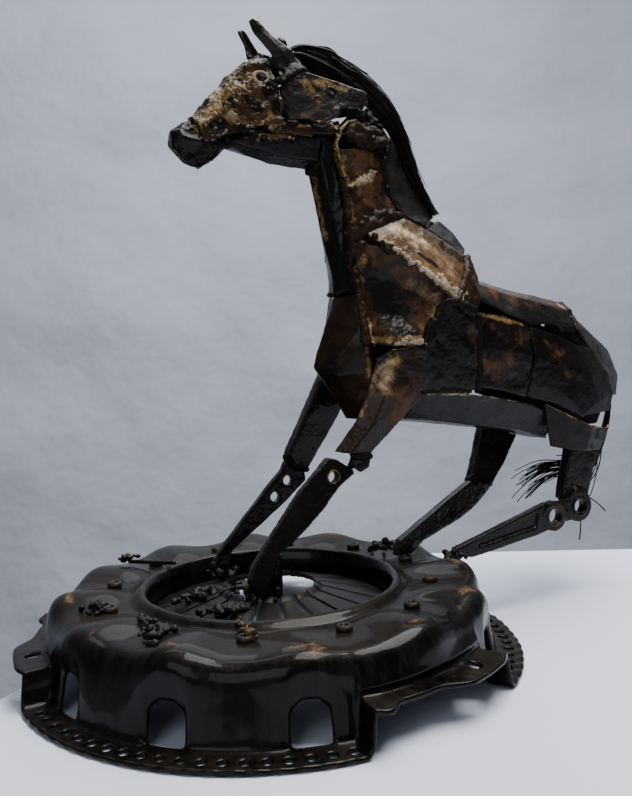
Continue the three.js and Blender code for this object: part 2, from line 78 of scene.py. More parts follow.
class Wire:
    def __init__(self, tree, socket=None):
        self.tree = tree
        self.socket = socket

    def make(self, kind, settings=None, inputs=None, output=0):
        node = self.tree.nodes.new(kind)
        for key, value in (settings or {}).items():
            setattr(node, key, value)
        for key, value in (inputs or {}).items():
            if isinstance(value, Wire):
                self.tree.links.new(value.socket, node.inputs[key])
            else:
                node.inputs[key].default_value = value
        return Wire(self.tree, node.outputs[output])

    def sums(self, operation, first, second):
        return self.make("ShaderNodeMath", {"operation": operation}, {0: first, 1: second})

    def __add__(self, other):
        return self.sums("ADD", self, other)

    def __sub__(self, other):
        return self.sums("SUBTRACT", self, other)

    def __rsub__(self, other):
        return self.sums("SUBTRACT", other, self)

    def __mul__(self, other):
        return self.sums("MULTIPLY", self, other)

    __radd__ = __add__
    __rmul__ = __mul__

    def step(self, low, high):
        # 0 below low and 1 above high, smooth between
        inputs = {"Value": self, "From Min": low, "From Max": high}
        return self.make("ShaderNodeMapRange", {"interpolation_type": "SMOOTHSTEP"}, inputs)

    def noise(self, scale, detail=5, roughness=0.6, distortion=0.0):
        inputs = {"Vector": self, "Scale": scale, "Detail": detail, "Roughness": roughness,
                  "Distortion": distortion}
        return self.make("ShaderNodeTexNoise", {}, inputs)

    def stretched(self, x, y, z):
        return self.make("ShaderNodeMapping", {}, {"Vector": self, "Scale": (x, y, z)})

    def attribute(self, name):
        return self.make("ShaderNodeAttribute", {"attribute_name": name}, {}, output=2)

    def blend(self, mask, under, over):
        under = under if isinstance(under, Wire) else (*under, 1)
        over = over if isinstance(over, Wire) else (*over, 1)
        return self.make("ShaderNodeMix", {"data_type": "RGBA"}, {0: mask, 6: under, 7: over}, output=2)


def newMaterial(name, coat=0.0, coatRoughness=0.1, specular=0.5):
    material = bpy.data.materials.new(name)
    material.use_nodes = True
    tree = material.node_tree
    shader = tree.nodes["Principled BSDF"]
    shader.inputs["Coat Weight"].default_value = coat
    shader.inputs["Coat Roughness"].default_value = coatRoughness
    shader.inputs["Specular IOR Level"].default_value = specular
    wire = Wire(tree)
    place = wire.make("ShaderNodeTexCoord", {}, {}, output="Object")

    def connect(colour, roughness, metallic, height, depth):
        bump = wire.make("ShaderNodeBump", {}, {"Height": height, "Distance": depth, "Strength": 0.9})
        for key, value in (("Base Color", colour), ("Roughness", roughness), ("Metallic", metallic),
                           ("Normal", bump)):
            if isinstance(value, Wire):
                tree.links.new(value.socket, shader.inputs[key])
            else:
                shader.inputs[key].default_value = value

    return material, place, connect


# finishes of the scrap: deep is a darker tone mottled at random through the plate, body the plate itself,
# fresh the rubbed edges
scrapLooks = {
    "blackScrap": {"deep": (0.0018, 0.0015, 0.0013), "body": (0.0065, 0.0048, 0.0036), "rust": 0.0,
                   "halo": 0.16, "fresh": (0.045, 0.033, 0.022), "shine": 0.28, "metal": 0.2},
    "blackWeld": {"deep": (0.0018, 0.0015, 0.0013), "body": (0.007, 0.005, 0.0036), "rust": 0.04,
                  "halo": 0.0, "fresh": (0.03, 0.021, 0.014), "shine": 0.5, "metal": 0.0, "gloss": 0.03},
    "umberScrap": {"deep": (0.004, 0.0022, 0.0013), "body": (0.022, 0.011, 0.0048), "rust": 0.22,
                   "halo": 0.5, "fresh": (0.15, 0.095, 0.048), "shine": 0.34, "metal": 0.15},
    "umberWeld": {"deep": (0.004, 0.0022, 0.0013), "body": (0.024, 0.012, 0.0052), "rust": 0.26,
                  "halo": 0.0, "fresh": (0.08, 0.048, 0.024), "shine": 0.5, "metal": 0.0, "gloss": 0.03},
    "goldWeld": {"deep": (0.0065, 0.0034, 0.0015), "body": (0.062, 0.034, 0.0125), "rust": 0.25,
                 "halo": 0.4, "fresh": (0.36, 0.25, 0.125), "shine": 0.27, "metal": 0.2},
    "creamScrap": {"deep": (0.016, 0.0085, 0.004), "body": (0.095, 0.056, 0.026), "rust": 0.22,
                   "halo": 0.3, "fresh": (0.3, 0.22, 0.13), "shine": 0.3, "metal": 0.1},
    "greyScrap": {"deep": (0.0038, 0.0034, 0.003), "body": (0.02, 0.018, 0.0155), "rust": 0.06,
                  "halo": 0.22, "fresh": (0.12, 0.105, 0.082), "shine": 0.3, "metal": 0.25},
    "violetScrap": {"deep": (0.003, 0.0026, 0.003), "body": (0.0115, 0.009, 0.0105), "rust": 0.02,
                    "halo": 0.2, "fresh": (0.08, 0.062, 0.05), "shine": 0.3, "metal": 0.2},
    "creamBead": {"deep": (0.11, 0.075, 0.042), "body": (0.34, 0.27, 0.19), "rust": 0.06, "halo": 0.0,
                  "fresh": (0.62, 0.55, 0.46), "shine": 0.3, "metal": 0.0},
    "goldBead": {"deep": (0.028, 0.015, 0.007), "body": (0.17, 0.105, 0.05), "rust": 0.1, "halo": 0.0,
                 "fresh": (0.46, 0.36, 0.23), "shine": 0.26, "metal": 0.1},
}


def scrapMaterial(name, look):
    material, place, connect = newMaterial(name, coat=look.get("gloss", 0.17), coatRoughness=0.13,
                                           specular=0.08)
    broad = place.noise(15, 6, 0.62)
    blotch = place.noise(52, 7, 0.60, 0.7)
    grain = place.noise(420, 7, 0.72)
    drawn = place.stretched(26, 26, 170).noise(1.0, 7, 0.7, 0.4)
    pale, gold = place.attribute("pale"), place.attribute("gold")
    rusty, dark = place.attribute("rust"), place.attribute("dark")
    heat, wear, paintedHollowShade = place.attribute("heat"), place.attribute("wear"), place.attribute("paintedHollowShade")
    uneven = (blotch - 0.5) * 1.7 + (grain - 0.5) * 0.5

    body = place.blend((broad * 0.5 + drawn * 0.3 + blotch * 0.2).step(0.36, 0.64), look["deep"],
                       look["body"])
    rustSpread = rusty * 0.62 + look["rust"] + heat * 0.10 + uneven * 0.9 + (broad - 0.5) * 1.1
    rustMask = rustSpread.step(0.42, 1.0)
    rustTone = place.blend((grain * 0.5 + blotch * 0.5).step(0.36, 0.64), (0.013, 0.0050, 0.0016),
                           (0.092, 0.036, 0.0095))
    colour = place.blend(rustMask * 0.85, body, rustTone)
    goldMask = (gold * 0.78 + heat * look["halo"] + uneven * 0.75).step(0.34, 0.98)
    goldTone = place.blend((grain * 0.6 + blotch * 0.4).step(0.36, 0.62), (0.036, 0.018, 0.006),
                           (0.24, 0.142, 0.054))
    colour = place.blend(goldMask * 0.9, colour, goldTone)
    paleMask = (pale * 0.85 + uneven * 0.65).step(0.30, 1.0)
    paleTone = place.blend(blotch.step(0.38, 0.64), (0.15, 0.092, 0.043), (0.44, 0.325, 0.20))
    colour = place.blend(paleMask, colour, paleTone)
    wornMask = (wear * 0.9 + (grain - 0.5) * 1.0 + (broad - 0.5) * 0.8).step(0.50, 1.05)
    colour = place.blend(wornMask * 0.6, colour, look["fresh"])
    # painted shade: the hollows are darkened where shade falls
    colour = place.blend((paintedHollowShade + (grain - 0.5) * 0.5).step(0.12, 0.8) * 0.85, colour,
                         (0.006, 0.004, 0.003))
    colour = place.blend((dark * 1.2 + uneven * 0.7).step(0.36, 0.80) * 0.95, colour,
                         (0.005, 0.0035, 0.003))

    roughness = (look["shine"] + rustMask * 0.24 + (grain - 0.5) * 0.3 + paleMask * 0.12
                 + (broad - 0.5) * 0.25)
    metallic = look["metal"] - rustMask * 0.3 - paleMask * 0.3
    height = grain * 0.4 + blotch * 1.0 + drawn * 0.2 + rustMask * 0.2 + paleMask * 0.3
    connect(colour, roughness.step(0.0, 1.0) * 0.8 + 0.1, metallic.step(0.0, 1.0), height, 0.0010)
    return material


materials = {name: scrapMaterial(name, look) for name, look in scrapLooks.items()}


def coverMaterial():
    # thick black gloss, dusty on top and rubbed to tan along the ribs
    material, place, connect = newMaterial("coverGloss", coat=0.19, coatRoughness=0.09, specular=0.06)
    broad = place.noise(9, 6, 0.6)
    blotch = place.noise(40, 9, 0.7, 0.8)
    grain = place.noise(520, 6, 0.7)
    streak = place.stretched(150, 150, 9).noise(1.0, 6, 0.62)
    facing = place.make("ShaderNodeNewGeometry", {}, {}, output="Normal")
    upward = place.make("ShaderNodeSeparateXYZ", {}, {0: facing}, output="Z").step(0.45, 0.98)
    wear, paintedHollowShade = place.attribute("wear"), place.attribute("paintedHollowShade")
    rusty, pale = place.attribute("rust"), place.attribute("pale")
    colour = place.blend(streak.step(0.40, 0.70), (0.0016, 0.0013, 0.0012), (0.0065, 0.0055, 0.0046))
    dust = upward * (broad * 0.5 + blotch * 0.5).step(0.36, 0.68)
    colour = place.blend(dust * 0.5, colour, (0.026, 0.019, 0.0135))
    rustMask = (rusty * 0.85 + wear * 0.25 + (blotch - 0.5) * 1.9 + (broad - 0.5) * 1.2).step(0.58, 0.92)
    rustTone = place.blend(grain.step(0.36, 0.62), (0.045, 0.022, 0.011), (0.21, 0.125, 0.07))
    colour = place.blend(rustMask * 0.9, colour, rustTone)
    paleMask = (pale * 1.2 + (grain - 0.5) * 0.8).step(0.4, 0.6)
    colour = place.blend(paleMask, colour, (0.60, 0.58, 0.56))
    # painted shade: the hollows are darkened where shade falls
    colour = place.blend(paintedHollowShade.step(0.3, 1.0) * 0.8, colour, (0.003, 0.003, 0.003))
    roughness = 0.17 + dust * 0.42 + upward * 0.10 + rustMask * 0.34 + (streak - 0.5) * 0.30
    height = grain * 0.35 + blotch * 0.9 + streak * 0.6 + rustMask * 0.4
    connect(colour, roughness.step(0.0, 1.0), 0.0, height, 0.0008)
    return material


def wireMaterial():
    material, place, connect = newMaterial("blackWire", coat=0.05, coatRoughness=0.25, specular=0.12)
    blotch = place.noise(60, 6, 0.6)
    grain = place.noise(700, 4, 0.6)
    colour = place.blend(blotch.step(0.50, 0.72), (0.0025, 0.002, 0.002), (0.014, 0.010, 0.007))
    connect(colour, 0.38 + grain * 0.25, 0.1, grain, 0.0003)
    return material


def springMaterial():
    material, place, connect = newMaterial("springSteel", coat=0.1, coatRoughness=0.25, specular=0.15)
    blotch = place.noise(45, 8, 0.7)
    grain = place.noise(600, 6, 0.7)
    wear = place.attribute("wear")
    colour = place.blend(blotch.step(0.42, 0.66), (0.004, 0.0035, 0.003), (0.020, 0.016, 0.013))
    colour = place.blend((wear + (grain - 0.5)).step(0.42, 0.8) * 0.5, colour, (0.05, 0.037, 0.026))
    colour = place.blend((blotch + wear * 0.15).step(0.64, 0.76) * 0.7, colour, (0.075, 0.033, 0.014))
    connect(colour, 0.34 + blotch * 0.25, 0.35, grain * 0.5 + blotch, 0.0006)
    return material


materials["coverGloss"] = coverMaterial()
materials["blackWire"] = wireMaterial()
materials["springSteel"] = springMaterial()
slotMaterials = {
    "cover_paint": "coverGloss", "spring_steel": "springSteel", "black_steel": "blackScrap",
    "umber_steel": "umberScrap", "weld_gold": "goldWeld", "cream_steel": "creamScrap",
    "grey_steel": "greyScrap", "belly_steel": "violetScrap", "wire": "blackWire",
}
slotOf = {part["node"]: part["material_slot"] for part in frame["record"]["subparts"]}
print("materials made:", len(materials))

# mesh helpers


def dentTexture(name, size, basis="BLENDER_ORIGINAL", depth=2):
    texture = bpy.data.textures.new(name, "CLOUDS")
    texture.noise_scale = size * mm
    texture.noise_basis = basis
    texture.noise_depth = depth
    return texture


dents = dentTexture("dents", 55, depth=1)
ripples = dentTexture("ripples", 9, depth=3)
pits = dentTexture("pits", 3.2, depth=2)
swells = dentTexture("swells", 15, depth=1)


def nodeCopy(node):
    bm = bmesh.new()
    bm.from_mesh(frame["nodes"][node].data)
    bmesh.ops.remove_doubles(bm, verts=bm.verts, dist=2e-6)
    return bm


def placed(name, data):
    item = bpy.data.objects.new(name, data)
    scene.collection.objects.link(item)
    return item


def newPiece(name, bm):
    mesh = bpy.data.meshes.new(name)
    bm.to_mesh(mesh)
    bm.free()
    return placed(name, mesh)


def spinProfile(bm, points, middle, steps):
    profile = [bm.verts.new(point) for point in points]
    edges = [bm.edges.new(pair) for pair in zip(profile, profile[1:])]
    bmesh.ops.spin(bm, geom=profile + edges, cent=middle, axis=(0, 0, 1), angle=math.tau, steps=steps,
                   use_merge=True)


def addLayer(piece, kind, **settings):
    layer = piece.modifiers.new(kind, kind)
    for key, value in settings.items():
        setattr(layer, key, value)


def addDisplace(piece, texture, strength, direction="NORMAL"):
    addLayer(piece, "DISPLACE", texture=texture, texture_coords="LOCAL", direction=direction,
             strength=strength * mm, mid_level=0.5)


def addRemesh(piece, voxel):
    addLayer(piece, "REMESH", mode="VOXEL", voxel_size=voxel * mm, use_smooth_shade=True)


def addSmooth(piece, times):
    addLayer(piece, "SMOOTH", iterations=times, factor=0.5)


def addWall(piece, thick, crease=0.0):
    addLayer(piece, "SOLIDIFY", thickness=thick * mm, offset=-1, edge_crease_rim=crease)


def addRounding(piece):
    addLayer(piece, "SUBSURF", levels=1, render_levels=1)


def bake(piece):
    piece.data = bpy.data.meshes.new_from_object(piece.evaluated_get(bpy.context.evaluated_depsgraph_get()))
    piece.data.name = piece.name
    piece.modifiers.clear()
    for polygon in piece.data.polygons:
        polygon.use_smooth = True


def readOut(items, key, width, kind=np.float32):
    values = np.empty(len(items) * width, kind)
    items.foreach_get(key, values)
    return values.reshape(-1, width)


def places(mesh):
    return readOut(mesh.vertices, "co", 3)


def putAttribute(mesh, name, values):
    attribute = mesh.attributes.get(name) or mesh.attributes.new(name, "FLOAT", "POINT")
    attribute.data.foreach_set("value", np.asarray(values, np.float32))


def bulgeOf(mesh, rounds=2):
    # how far each point stands out from its neighbours, spread a little: below 0 in a hollow
    spots = places(mesh)
    normals = readOut(mesh.vertices, "normal", 3)
    ends = readOut(mesh.edges, "vertices", 2, np.int32)
    both = np.concatenate([ends, ends[:, ::-1]])
    degree = np.maximum(np.bincount(both[:, 0], minlength=len(spots)), 1)

    def around(values):
        return np.bincount(both[:, 0], weights=values[both[:, 1]], minlength=len(spots)) / degree

    middle = np.stack([around(spots[:, axis]) for axis in range(3)], axis=1)
    reach = np.linalg.norm(spots[ends[:, 0]] - spots[ends[:, 1]], axis=1).mean()
    out = ((spots - middle) * normals).sum(axis=1) / reach
    for _ in range(rounds):
        out = 0.5 * out + 0.5 * around(out)
    return out


def strokeField(spots, stroke):
    # 1 on a line through the x, z points, fading to 0 at the radius given last, with an uneven border
    *points, radius = stroke
    x = (spots[:, 0] - hubX) / mm
    z = spots[:, 2] / mm
    stray = 0.22 * radius
    x, z = (x + stray * np.sin(0.31 * z + 1.3 * np.sin(0.19 * x)) + 0.5 * stray * np.sin(0.9 * z + x),
            z + stray * np.sin(0.27 * x + 1.6 * np.sin(0.23 * z)) + 0.5 * stray * np.sin(0.8 * x))
    nearest = np.full(len(spots), 1e9)
    if len(points) == 1:
        points = points * 2
    for (ax, az), (bx, bz) in zip(points, points[1:]):
        run = max((bx - ax) ** 2 + (bz - az) ** 2, 1e-6)
        along = np.clip(((x - ax) * (bx - ax) + (z - az) * (bz - az)) / run, 0, 1)
        distance = np.hypot(x - ax - along * (bx - ax), z - az - along * (bz - az))
        nearest = np.minimum(nearest, distance)
    return np.clip(1 - (nearest / (1.35 * radius)) ** 1.6, 0, 1)


def mark(piece, marks, rubbed=5):
    # worn where it stands out, painted shade darkening the hollows, and coloured along the strokes
    mesh = piece.data
    spots = places(mesh)
    bulge = bulgeOf(mesh)
    putAttribute(mesh, "wear", np.clip(bulge * rubbed, 0, 1))
    # painted shade: how far each point lies in a hollow, where shade falls
    putAttribute(mesh, "paintedHollowShade", np.clip(bulge * -6, 0, 1))
    for kind, strokes in marks.items():
        field = np.zeros(len(spots))
        for stroke in strokes:
            field = np.maximum(field, strokeField(spots, stroke))
        putAttribute(mesh, kind, field)


def finished(piece, slot, *nodes, material=None):
    piece.data.materials.clear()
    piece.data.materials.append(materials[material or slotMaterials[slot]])
    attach(piece, "root")
    if nodes:
        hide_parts(*nodes)
    return piece


def worked(piece, slot, *nodes, marks=None, rubbed=5, material=None):
    bake(piece)
    mark(piece, marks or {}, rubbed)
    return finished(piece, slot, *nodes, material=material)


# scrap plates: each one is its CAD solid, remeshed fine, hammered and pitted

# voxel, ripple and pit sizes, then strokes: lines of x, z points in millimetres and a radius, which
# colour the plate from the side; melt and swell are smoothing rounds and lump size where they differ
plateMelt = 10
plateSwell = 0.8
plateDents = (("Y", 4.5), ("X", 2.5))
plates = {
    "face_plate": (0.8, 2.6, 0.6, {
        "swell": 5.0, "melt": 4, "pale": [((-50, 502), (-37, 519), (-23, 535), 4), ((-15, 511), 5),
        ((-46, 491), (-34, 489), 3)], "gold": [((-44, 500), (-27, 523), (-8, 538), (10, 552), 9),
        ((-15, 508), (10, 503), (30, 505), 11)], "dark": [((-36, 500), (-24, 503), 6),
        ((24, 540), (34, 525), 12), ((-21, 521), (-14, 526), 4), ((2, 528), (10, 520), 6), ((-4, 546), 4),
        ((20, 565), 8), ((-30, 490), (-20, 492), 5)]}),
    "muzzle": (0.9, 1.8, 0.6, {"swell": 4.5, "melt": 3, "gold": [((-40, 492), (-48, 500), 4)]}),
    "jaw_trough": (1.0, 0.8, 0.5, {"gold": [((0, 494), (40, 497), 5)], "material": "violetScrap"}),
    "skull_cap": (1.0, 1.4, 0.7, {}),
    "ear_left": (0.8, 0.7, 0.4, {}),
    "ear_right": (0.8, 0.6, 0.4, {}),
    "poll_knob": (0.7, 1.2, 0.5, {}),
    "cheek_plate_left": (0.8, 0.9, 0.5, {
        "melt": 3, "rust": [((60, 550), (100, 548), 10), ((60, 515), (90, 526), 8)],
        "gold": [((60, 549), (66, 540), (74, 534), 6), ((78, 552), (104, 545), 6)],
        "dark": [((96, 540), (122, 538), 6), ((84, 526), (70, 516), 6), ((36, 545), (34, 515), 6)]}),
    "cheek_plate_right": (0.9, 0.5, 0.4, {}),
    "cheek_bar_left": (0.9, 0.6, 0.4, {"gold": [((20, 506), (92, 508), 3)]}),
    "neck_collar_left": (0.9, 1.4, 0.8, {
        "pale": [((93, 478), (92, 492), (99, 506), 4)], "gold": [((97, 462), (91, 490), (108, 514), 9)]}),
    "neck_side_left": (1.1, 0.8, 0.4, {
        "pale": [((106, 453), (118, 457), (128, 462), 5), ((132, 420), 4)],
        "gold": [((98, 480), (100, 420), (104, 385), 6)],
        "rust": [((120, 480), (130, 440), (150, 430), 20)]}),
    "neck_side_right": (1.3, 0.8, 0.4, {"rust": [((120, 480), (130, 440), 20)]}),
    "neck_front_plate": (1.2, 0.5, 0.3, {"gold": [((74, 462), (76, 440), (84, 400), 2.6)]}),
    "chest_plate": (1.5, 0.5, 0.3, {
        "gold": [((104, 330), (106, 290), (109, 262), 3.5)], "material": "umberScrap"}),
    "crest_plate": (1.1, 0.6, 0.3, {}),
    "shoulder_top_left": (1.0, 1.0, 0.5, {
        "pale": [((145, 410), (166, 399), (188, 384), (206, 360), 9),
        ((104, 402), (140, 386), (176, 358), (196, 345), 5)], "gold": [((120, 400), (206, 345), 12)],
        "rust": [((222, 384), (224, 358), 12), ((120, 420), 12)], "dark": [((206, 394), (226, 380), 5),
        ((158, 388), (186, 370), 2.5)]}),
    "shoulder_top_right": (1.3, 1.0, 0.5, {
        "pale": [((150, 405), (190, 372), 14)], "gold": [((120, 404), (222, 350), 24)]}),
    "shoulder_panel_left": (1.0, 1.0, 0.5, {
        "pale": [((105, 337), (110, 319), (108, 298), 2.6), ((138, 293), (160, 295), 3),
        ((182, 330), (176, 310), 3)], "gold": [((108, 380), (106, 340), (106, 300), 6),
        ((160, 350), (182, 330), (168, 298), 9), ((110, 298), (165, 297), 5)],
        "rust": [((120, 385), (150, 365), 16), ((170, 335), (166, 305), 16), ((120, 318), 14)],
        "dark": [((124, 352), (138, 325), 20)]}),
    "shoulder_panel_right": (1.3, 1.0, 0.5, {
        "gold": [((106, 392), (104, 300), 8), ((186, 326), (172, 300), 12)]}),
    "shoulder_cap_left": (1.0, 0.9, 0.5, {
        "pale": [((224, 384), (234, 381), 4)], "gold": [((222, 376), (232, 360), 8)],
        "rust": [((215, 365), (222, 340), 10)], "material": "umberScrap"}),
    "shoulder_cap_right": (1.3, 0.9, 0.5, {}),
    "withers_lobe": (1.2, 0.5, 0.3, {"material": "blackWeld"}),
    "girth_panel_left": (1.1, 0.9, 0.4, {
        "gold": [((189, 330), (170, 300), (163, 280), 3.5)],
        "rust": [((222, 306), (236, 292), (232, 262), 15)]}),
    "girth_panel_right": (1.4, 0.9, 0.4, {}),
    "side_plate_left": (1.1, 0.9, 0.4, {
        "rust": [((234, 318), (270, 306), (306, 296), 22), ((240, 268), (270, 264), 20), ((290, 290), 18)],
        "gold": [((234, 321), (300, 308), 3)], "dark": [((262, 290), (250, 285), 8)],
        "material": "blackScrap"}),
    "side_plate_right": (1.4, 0.9, 0.4, {"rust": [((234, 320), (306, 304), 12)], "material": "blackScrap"}),
    "haunch_plate_left": (1.1, 0.7, 0.3, {
        "rust": [((304, 290), (326, 288), (344, 278), (334, 266), 15), ((300, 262), 14),
        ((340, 262), (356, 252), 6)]}),
    "haunch_plate_right": (1.4, 0.7, 0.3, {}),
    "back_plate": (1.4, 0.6, 0.3, {
        "rust": [((252, 348), (310, 336), (340, 322), 13), ((330, 345), (376, 332), 11)],
        "pale": [((384, 330), (396, 322), 3.5)]}),
    "rump_strap": (1.5, 0.5, 0.3, {"pale": [((400, 316), (412, 300), 2.5)]}),
    "belly_plate": (1.7, 0.6, 0.3, {"pale": [((176, 241), (235, 236), (292, 226), 2)]}),
    "thigh_cup": (1.1, 0.5, 0.3, {
        "gold": [((326, 221), (352, 206), (380, 193), 2.2)], "pale": [((384, 190), (432, 188), 2)]}),
    "left_forearm": (1.1, 0.9, 0.5, {
        "pale": [((124, 272), (116, 254), 7)], "gold": [((114, 266), (98, 225), 3),
        ((128, 276), (116, 245), 12)], "rust": [((150, 250), (130, 225), 14)]}),
    "knee_tab": (0.9, 0.8, 0.5, {}),
    "left_cannon": (1.0, 0.6, 0.5, {}),
    "foot_hub": (1.0, 0.6, 0.5, {}),
    "right_forearm": (1.2, 0.7, 0.5, {}),
    "right_cannon": (1.0, 0.5, 0.4, {}),
    "right_gaskin": (1.2, 0.6, 0.4, {}),
    "right_hind_cannon": (1.1, 0.7, 0.5, {}),
    "left_hind_post": (1.1, 0.5, 0.4, {}),
    "left_hind_lever": (0.9, 0.4, 0.3, {}),
}
flatPlates = ("left_hind_lever", "right_cannon", "foot_hub", "left_hind_post")
worn = {}


def scrapPlate(node, plan):
    piece = newPiece("worn_" + node, nodeCopy(node))
    voxel, ripple, pit, extras = plan
    addRemesh(piece, voxel)
    addSmooth(piece, extras.get("melt", plateMelt))
    if node not in flatPlates:
        for axis, strength in plateDents:
            addDisplace(piece, dents, strength, axis)
    addDisplace(piece, swells, extras.get("swell", plateSwell))
    addDisplace(piece, ripples, ripple)
    addDisplace(piece, pits, pit)
    marks = {kind: extras[kind] for kind in ("pale", "gold", "rust", "dark") if kind in extras}
    worn[node] = worked(piece, slotOf[node], node, marks=marks, material=extras.get("material"))


for node, plan in plates.items():
    scrapPlate(node, plan)
print("plates made:", len(worn), "triangles", sum(len(p.data.polygons) * 2 for p in worn.values()))

# pressed clutch cover

coverPlan = {
    "columns": 360, "lobes": 12, "firstLobe": 15, "wall": 4.5, "ribLift": 7.5, "ribBulge": 6,
    "rows": (  # radius, height, share of the rib's lift, share of its bulge
        (237.5, 4.5, 0, 0), (233.5, 4.5, 0, 0), (229, 4.5, 0, 0), (225, 4.5, 0, 0), (221, 4.5, 0, 0),
        (216.5, 4.6, 0, 0), (213, 6.0, 0, 0), (211.6, 10, 0, 0.1), (209.6, 19, 0, 0.25),
        (207.6, 28, 0, 0.45),
        (205.6, 37.2, 0, 0.7), (204.3, 44, 0, 0.9), (203.2, 51, 0.1, 1), (201.0, 57.5, 0.45, 1.05),
        (196.5, 62.6, 0.8, 1.0), (190, 65.2, 1, 0.7), (181, 66, 1, 0.3), (168, 66, 0.92, 0),
        (154, 65.6, 0.8, 0),
        (144, 65.0, 0.5, 0), (136, 64.2, 0.15, 0), (131.5, 65.0, 0, 0), (128, 68.6, 0, 0),
        (124, 71.6, 0, 0),
        (120, 71.2, 0, 0), (116.8, 67, 0, 0), (114.6, 58, 0, 0), (113, 47, 0, 0),
    ),
    "raisedMiddles": (45, 165, 285), "raisedHalf": 20, "raisedHeight": 29, "raisedFoot": 208,
    "raisedStep": 7.5,
    "ribSharp": 1.3, "flangeRows": 5, "wallRows": 12, "wallFoot": 6, "wallTop": 51,
    "wallPull": {5: 5.5, 6: 4.5, 7: 3.0},
    "notch": 13, "notchIn": (-17, -12), "notchOut": (-3, 4), "cornerCut": 4, "curl": 2.2,
    "curlFrom": (15, 17),
    "windowTop": 37.2, "windowCorner": 9, "windowHalf": 4, "windowRows": (6, 11),
    "pocketTop": 58, "pocketDepth": 3.2, "pocketRadius": 18.5,
    "holeEvery": 4, "holeRadius": 4.0, "boltRadius": 6.2, "boltTurn": 10,
}


def fromMiddle(degrees, middles):
    # signed angle from the nearest of the middles
    turns = [(degrees - middle + 180) % 360 - 180 for middle in middles]
    return min(turns, key=abs)


def smoothRise(value, low, high):
    share = min(max((value - low) / (high - low), 0), 1)
    return share * share * (3 - 2 * share)


def raisedSpot(plan, radius, height, raised, row):
    # the flange is lifted here, narrowed at a notch, cut and curled at its ends
    end = smoothRise(abs(raised), plan["curlFrom"][0], plan["raisedHalf"])
    wallTop = plan["wallTop"]
    if row <= plan["flangeRows"]:
        share = 1 - row / (plan["flangeRows"] + 1)
        notch = smoothRise(raised, *plan["notchIn"]) * (1 - smoothRise(raised, *plan["notchOut"]))
        height += plan["raisedHeight"]
        radius -= plan["notch"] * notch * share
        radius -= plan["cornerCut"] * end * share
        height += plan["curl"] * smoothRise(-raised, plan["curlFrom"][1], plan["raisedHalf"]) * share
    elif row <= plan["wallRows"]:
        foot = plan["raisedHeight"] + plan["raisedStep"]
        height = foot + (height - plan["wallFoot"]) * (wallTop - foot) / (wallTop - plan["wallFoot"])
    if row in plan["wallPull"]:
        radius -= plan["wallPull"][row]
    return radius, height


def windowSpot(plan, radius, height, off, row):
    # the window's rows are squeezed under its rounded top, and the wall round it is pressed in
    away = abs(off)
    top, wallTop, floor = plan["windowTop"], plan["wallTop"], plan["wallFoot"]
    if plan["flangeRows"] < row <= plan["wallRows"]:
        rounded = top - plan["windowCorner"] * smoothRise(away, 1.6, 4.4) * (1 - smoothRise(away, 4.5, 8))
        if height <= top:
            height = floor + (height - floor) * (rounded - floor) / (top - floor)
        else:
            height = wallTop - (wallTop - height) * (wallTop - rounded) / (wallTop - top)
    if plan["flangeRows"] < row <= plan["wallRows"] + 1:
        across = math.radians(away) * plan["raisedFoot"]
        # the pocket is a round dent below pocketTop
        inside = plan["pocketRadius"] - math.hypot(across, max(0, height - plan["pocketTop"] + 19))
        radius -= plan["pocketDepth"] * smoothRise(inside, 0, 3.5)
    return radius, height


def coverSpot(plan, degrees, row):
    radius, height, liftShare, bulgeShare = plan["rows"][row]
    off = fromMiddle(degrees, [plan["firstLobe"] + 30 * k for k in range(plan["lobes"])])
    rib = (0.5 + 0.5 * math.cos(math.radians(plan["lobes"] * off))) ** plan["ribSharp"]
    wobble = 1 + 0.18 * math.sin(math.radians(5 * degrees + 40))
    radius += plan["ribBulge"] * rib * bulgeShare
    height += plan["ribLift"] * rib * liftShare * wobble
    raised = fromMiddle(degrees, plan["raisedMiddles"])
    past = abs(raised) - plan["raisedHalf"]
    angle = degrees
    if past <= 0.01:
        radius, height = raisedSpot(plan, radius, height, raised, row)
        if past > -0.5:
            angle -= math.copysign(0.25, raised)
    else:
        if past < 1.1:
            angle -= math.copysign(0.55, raised)
        if row == 0:
            height += 1.5 * (int(degrees) % 4 < 2)
        if abs(fromMiddle(off + plan["firstLobe"], (plan["firstLobe"],))) < 8:
            radius, height = windowSpot(plan, radius, height, off, row)
    angle = math.radians(angle)
    return at(radius * math.cos(angle), radius * math.sin(angle), height)


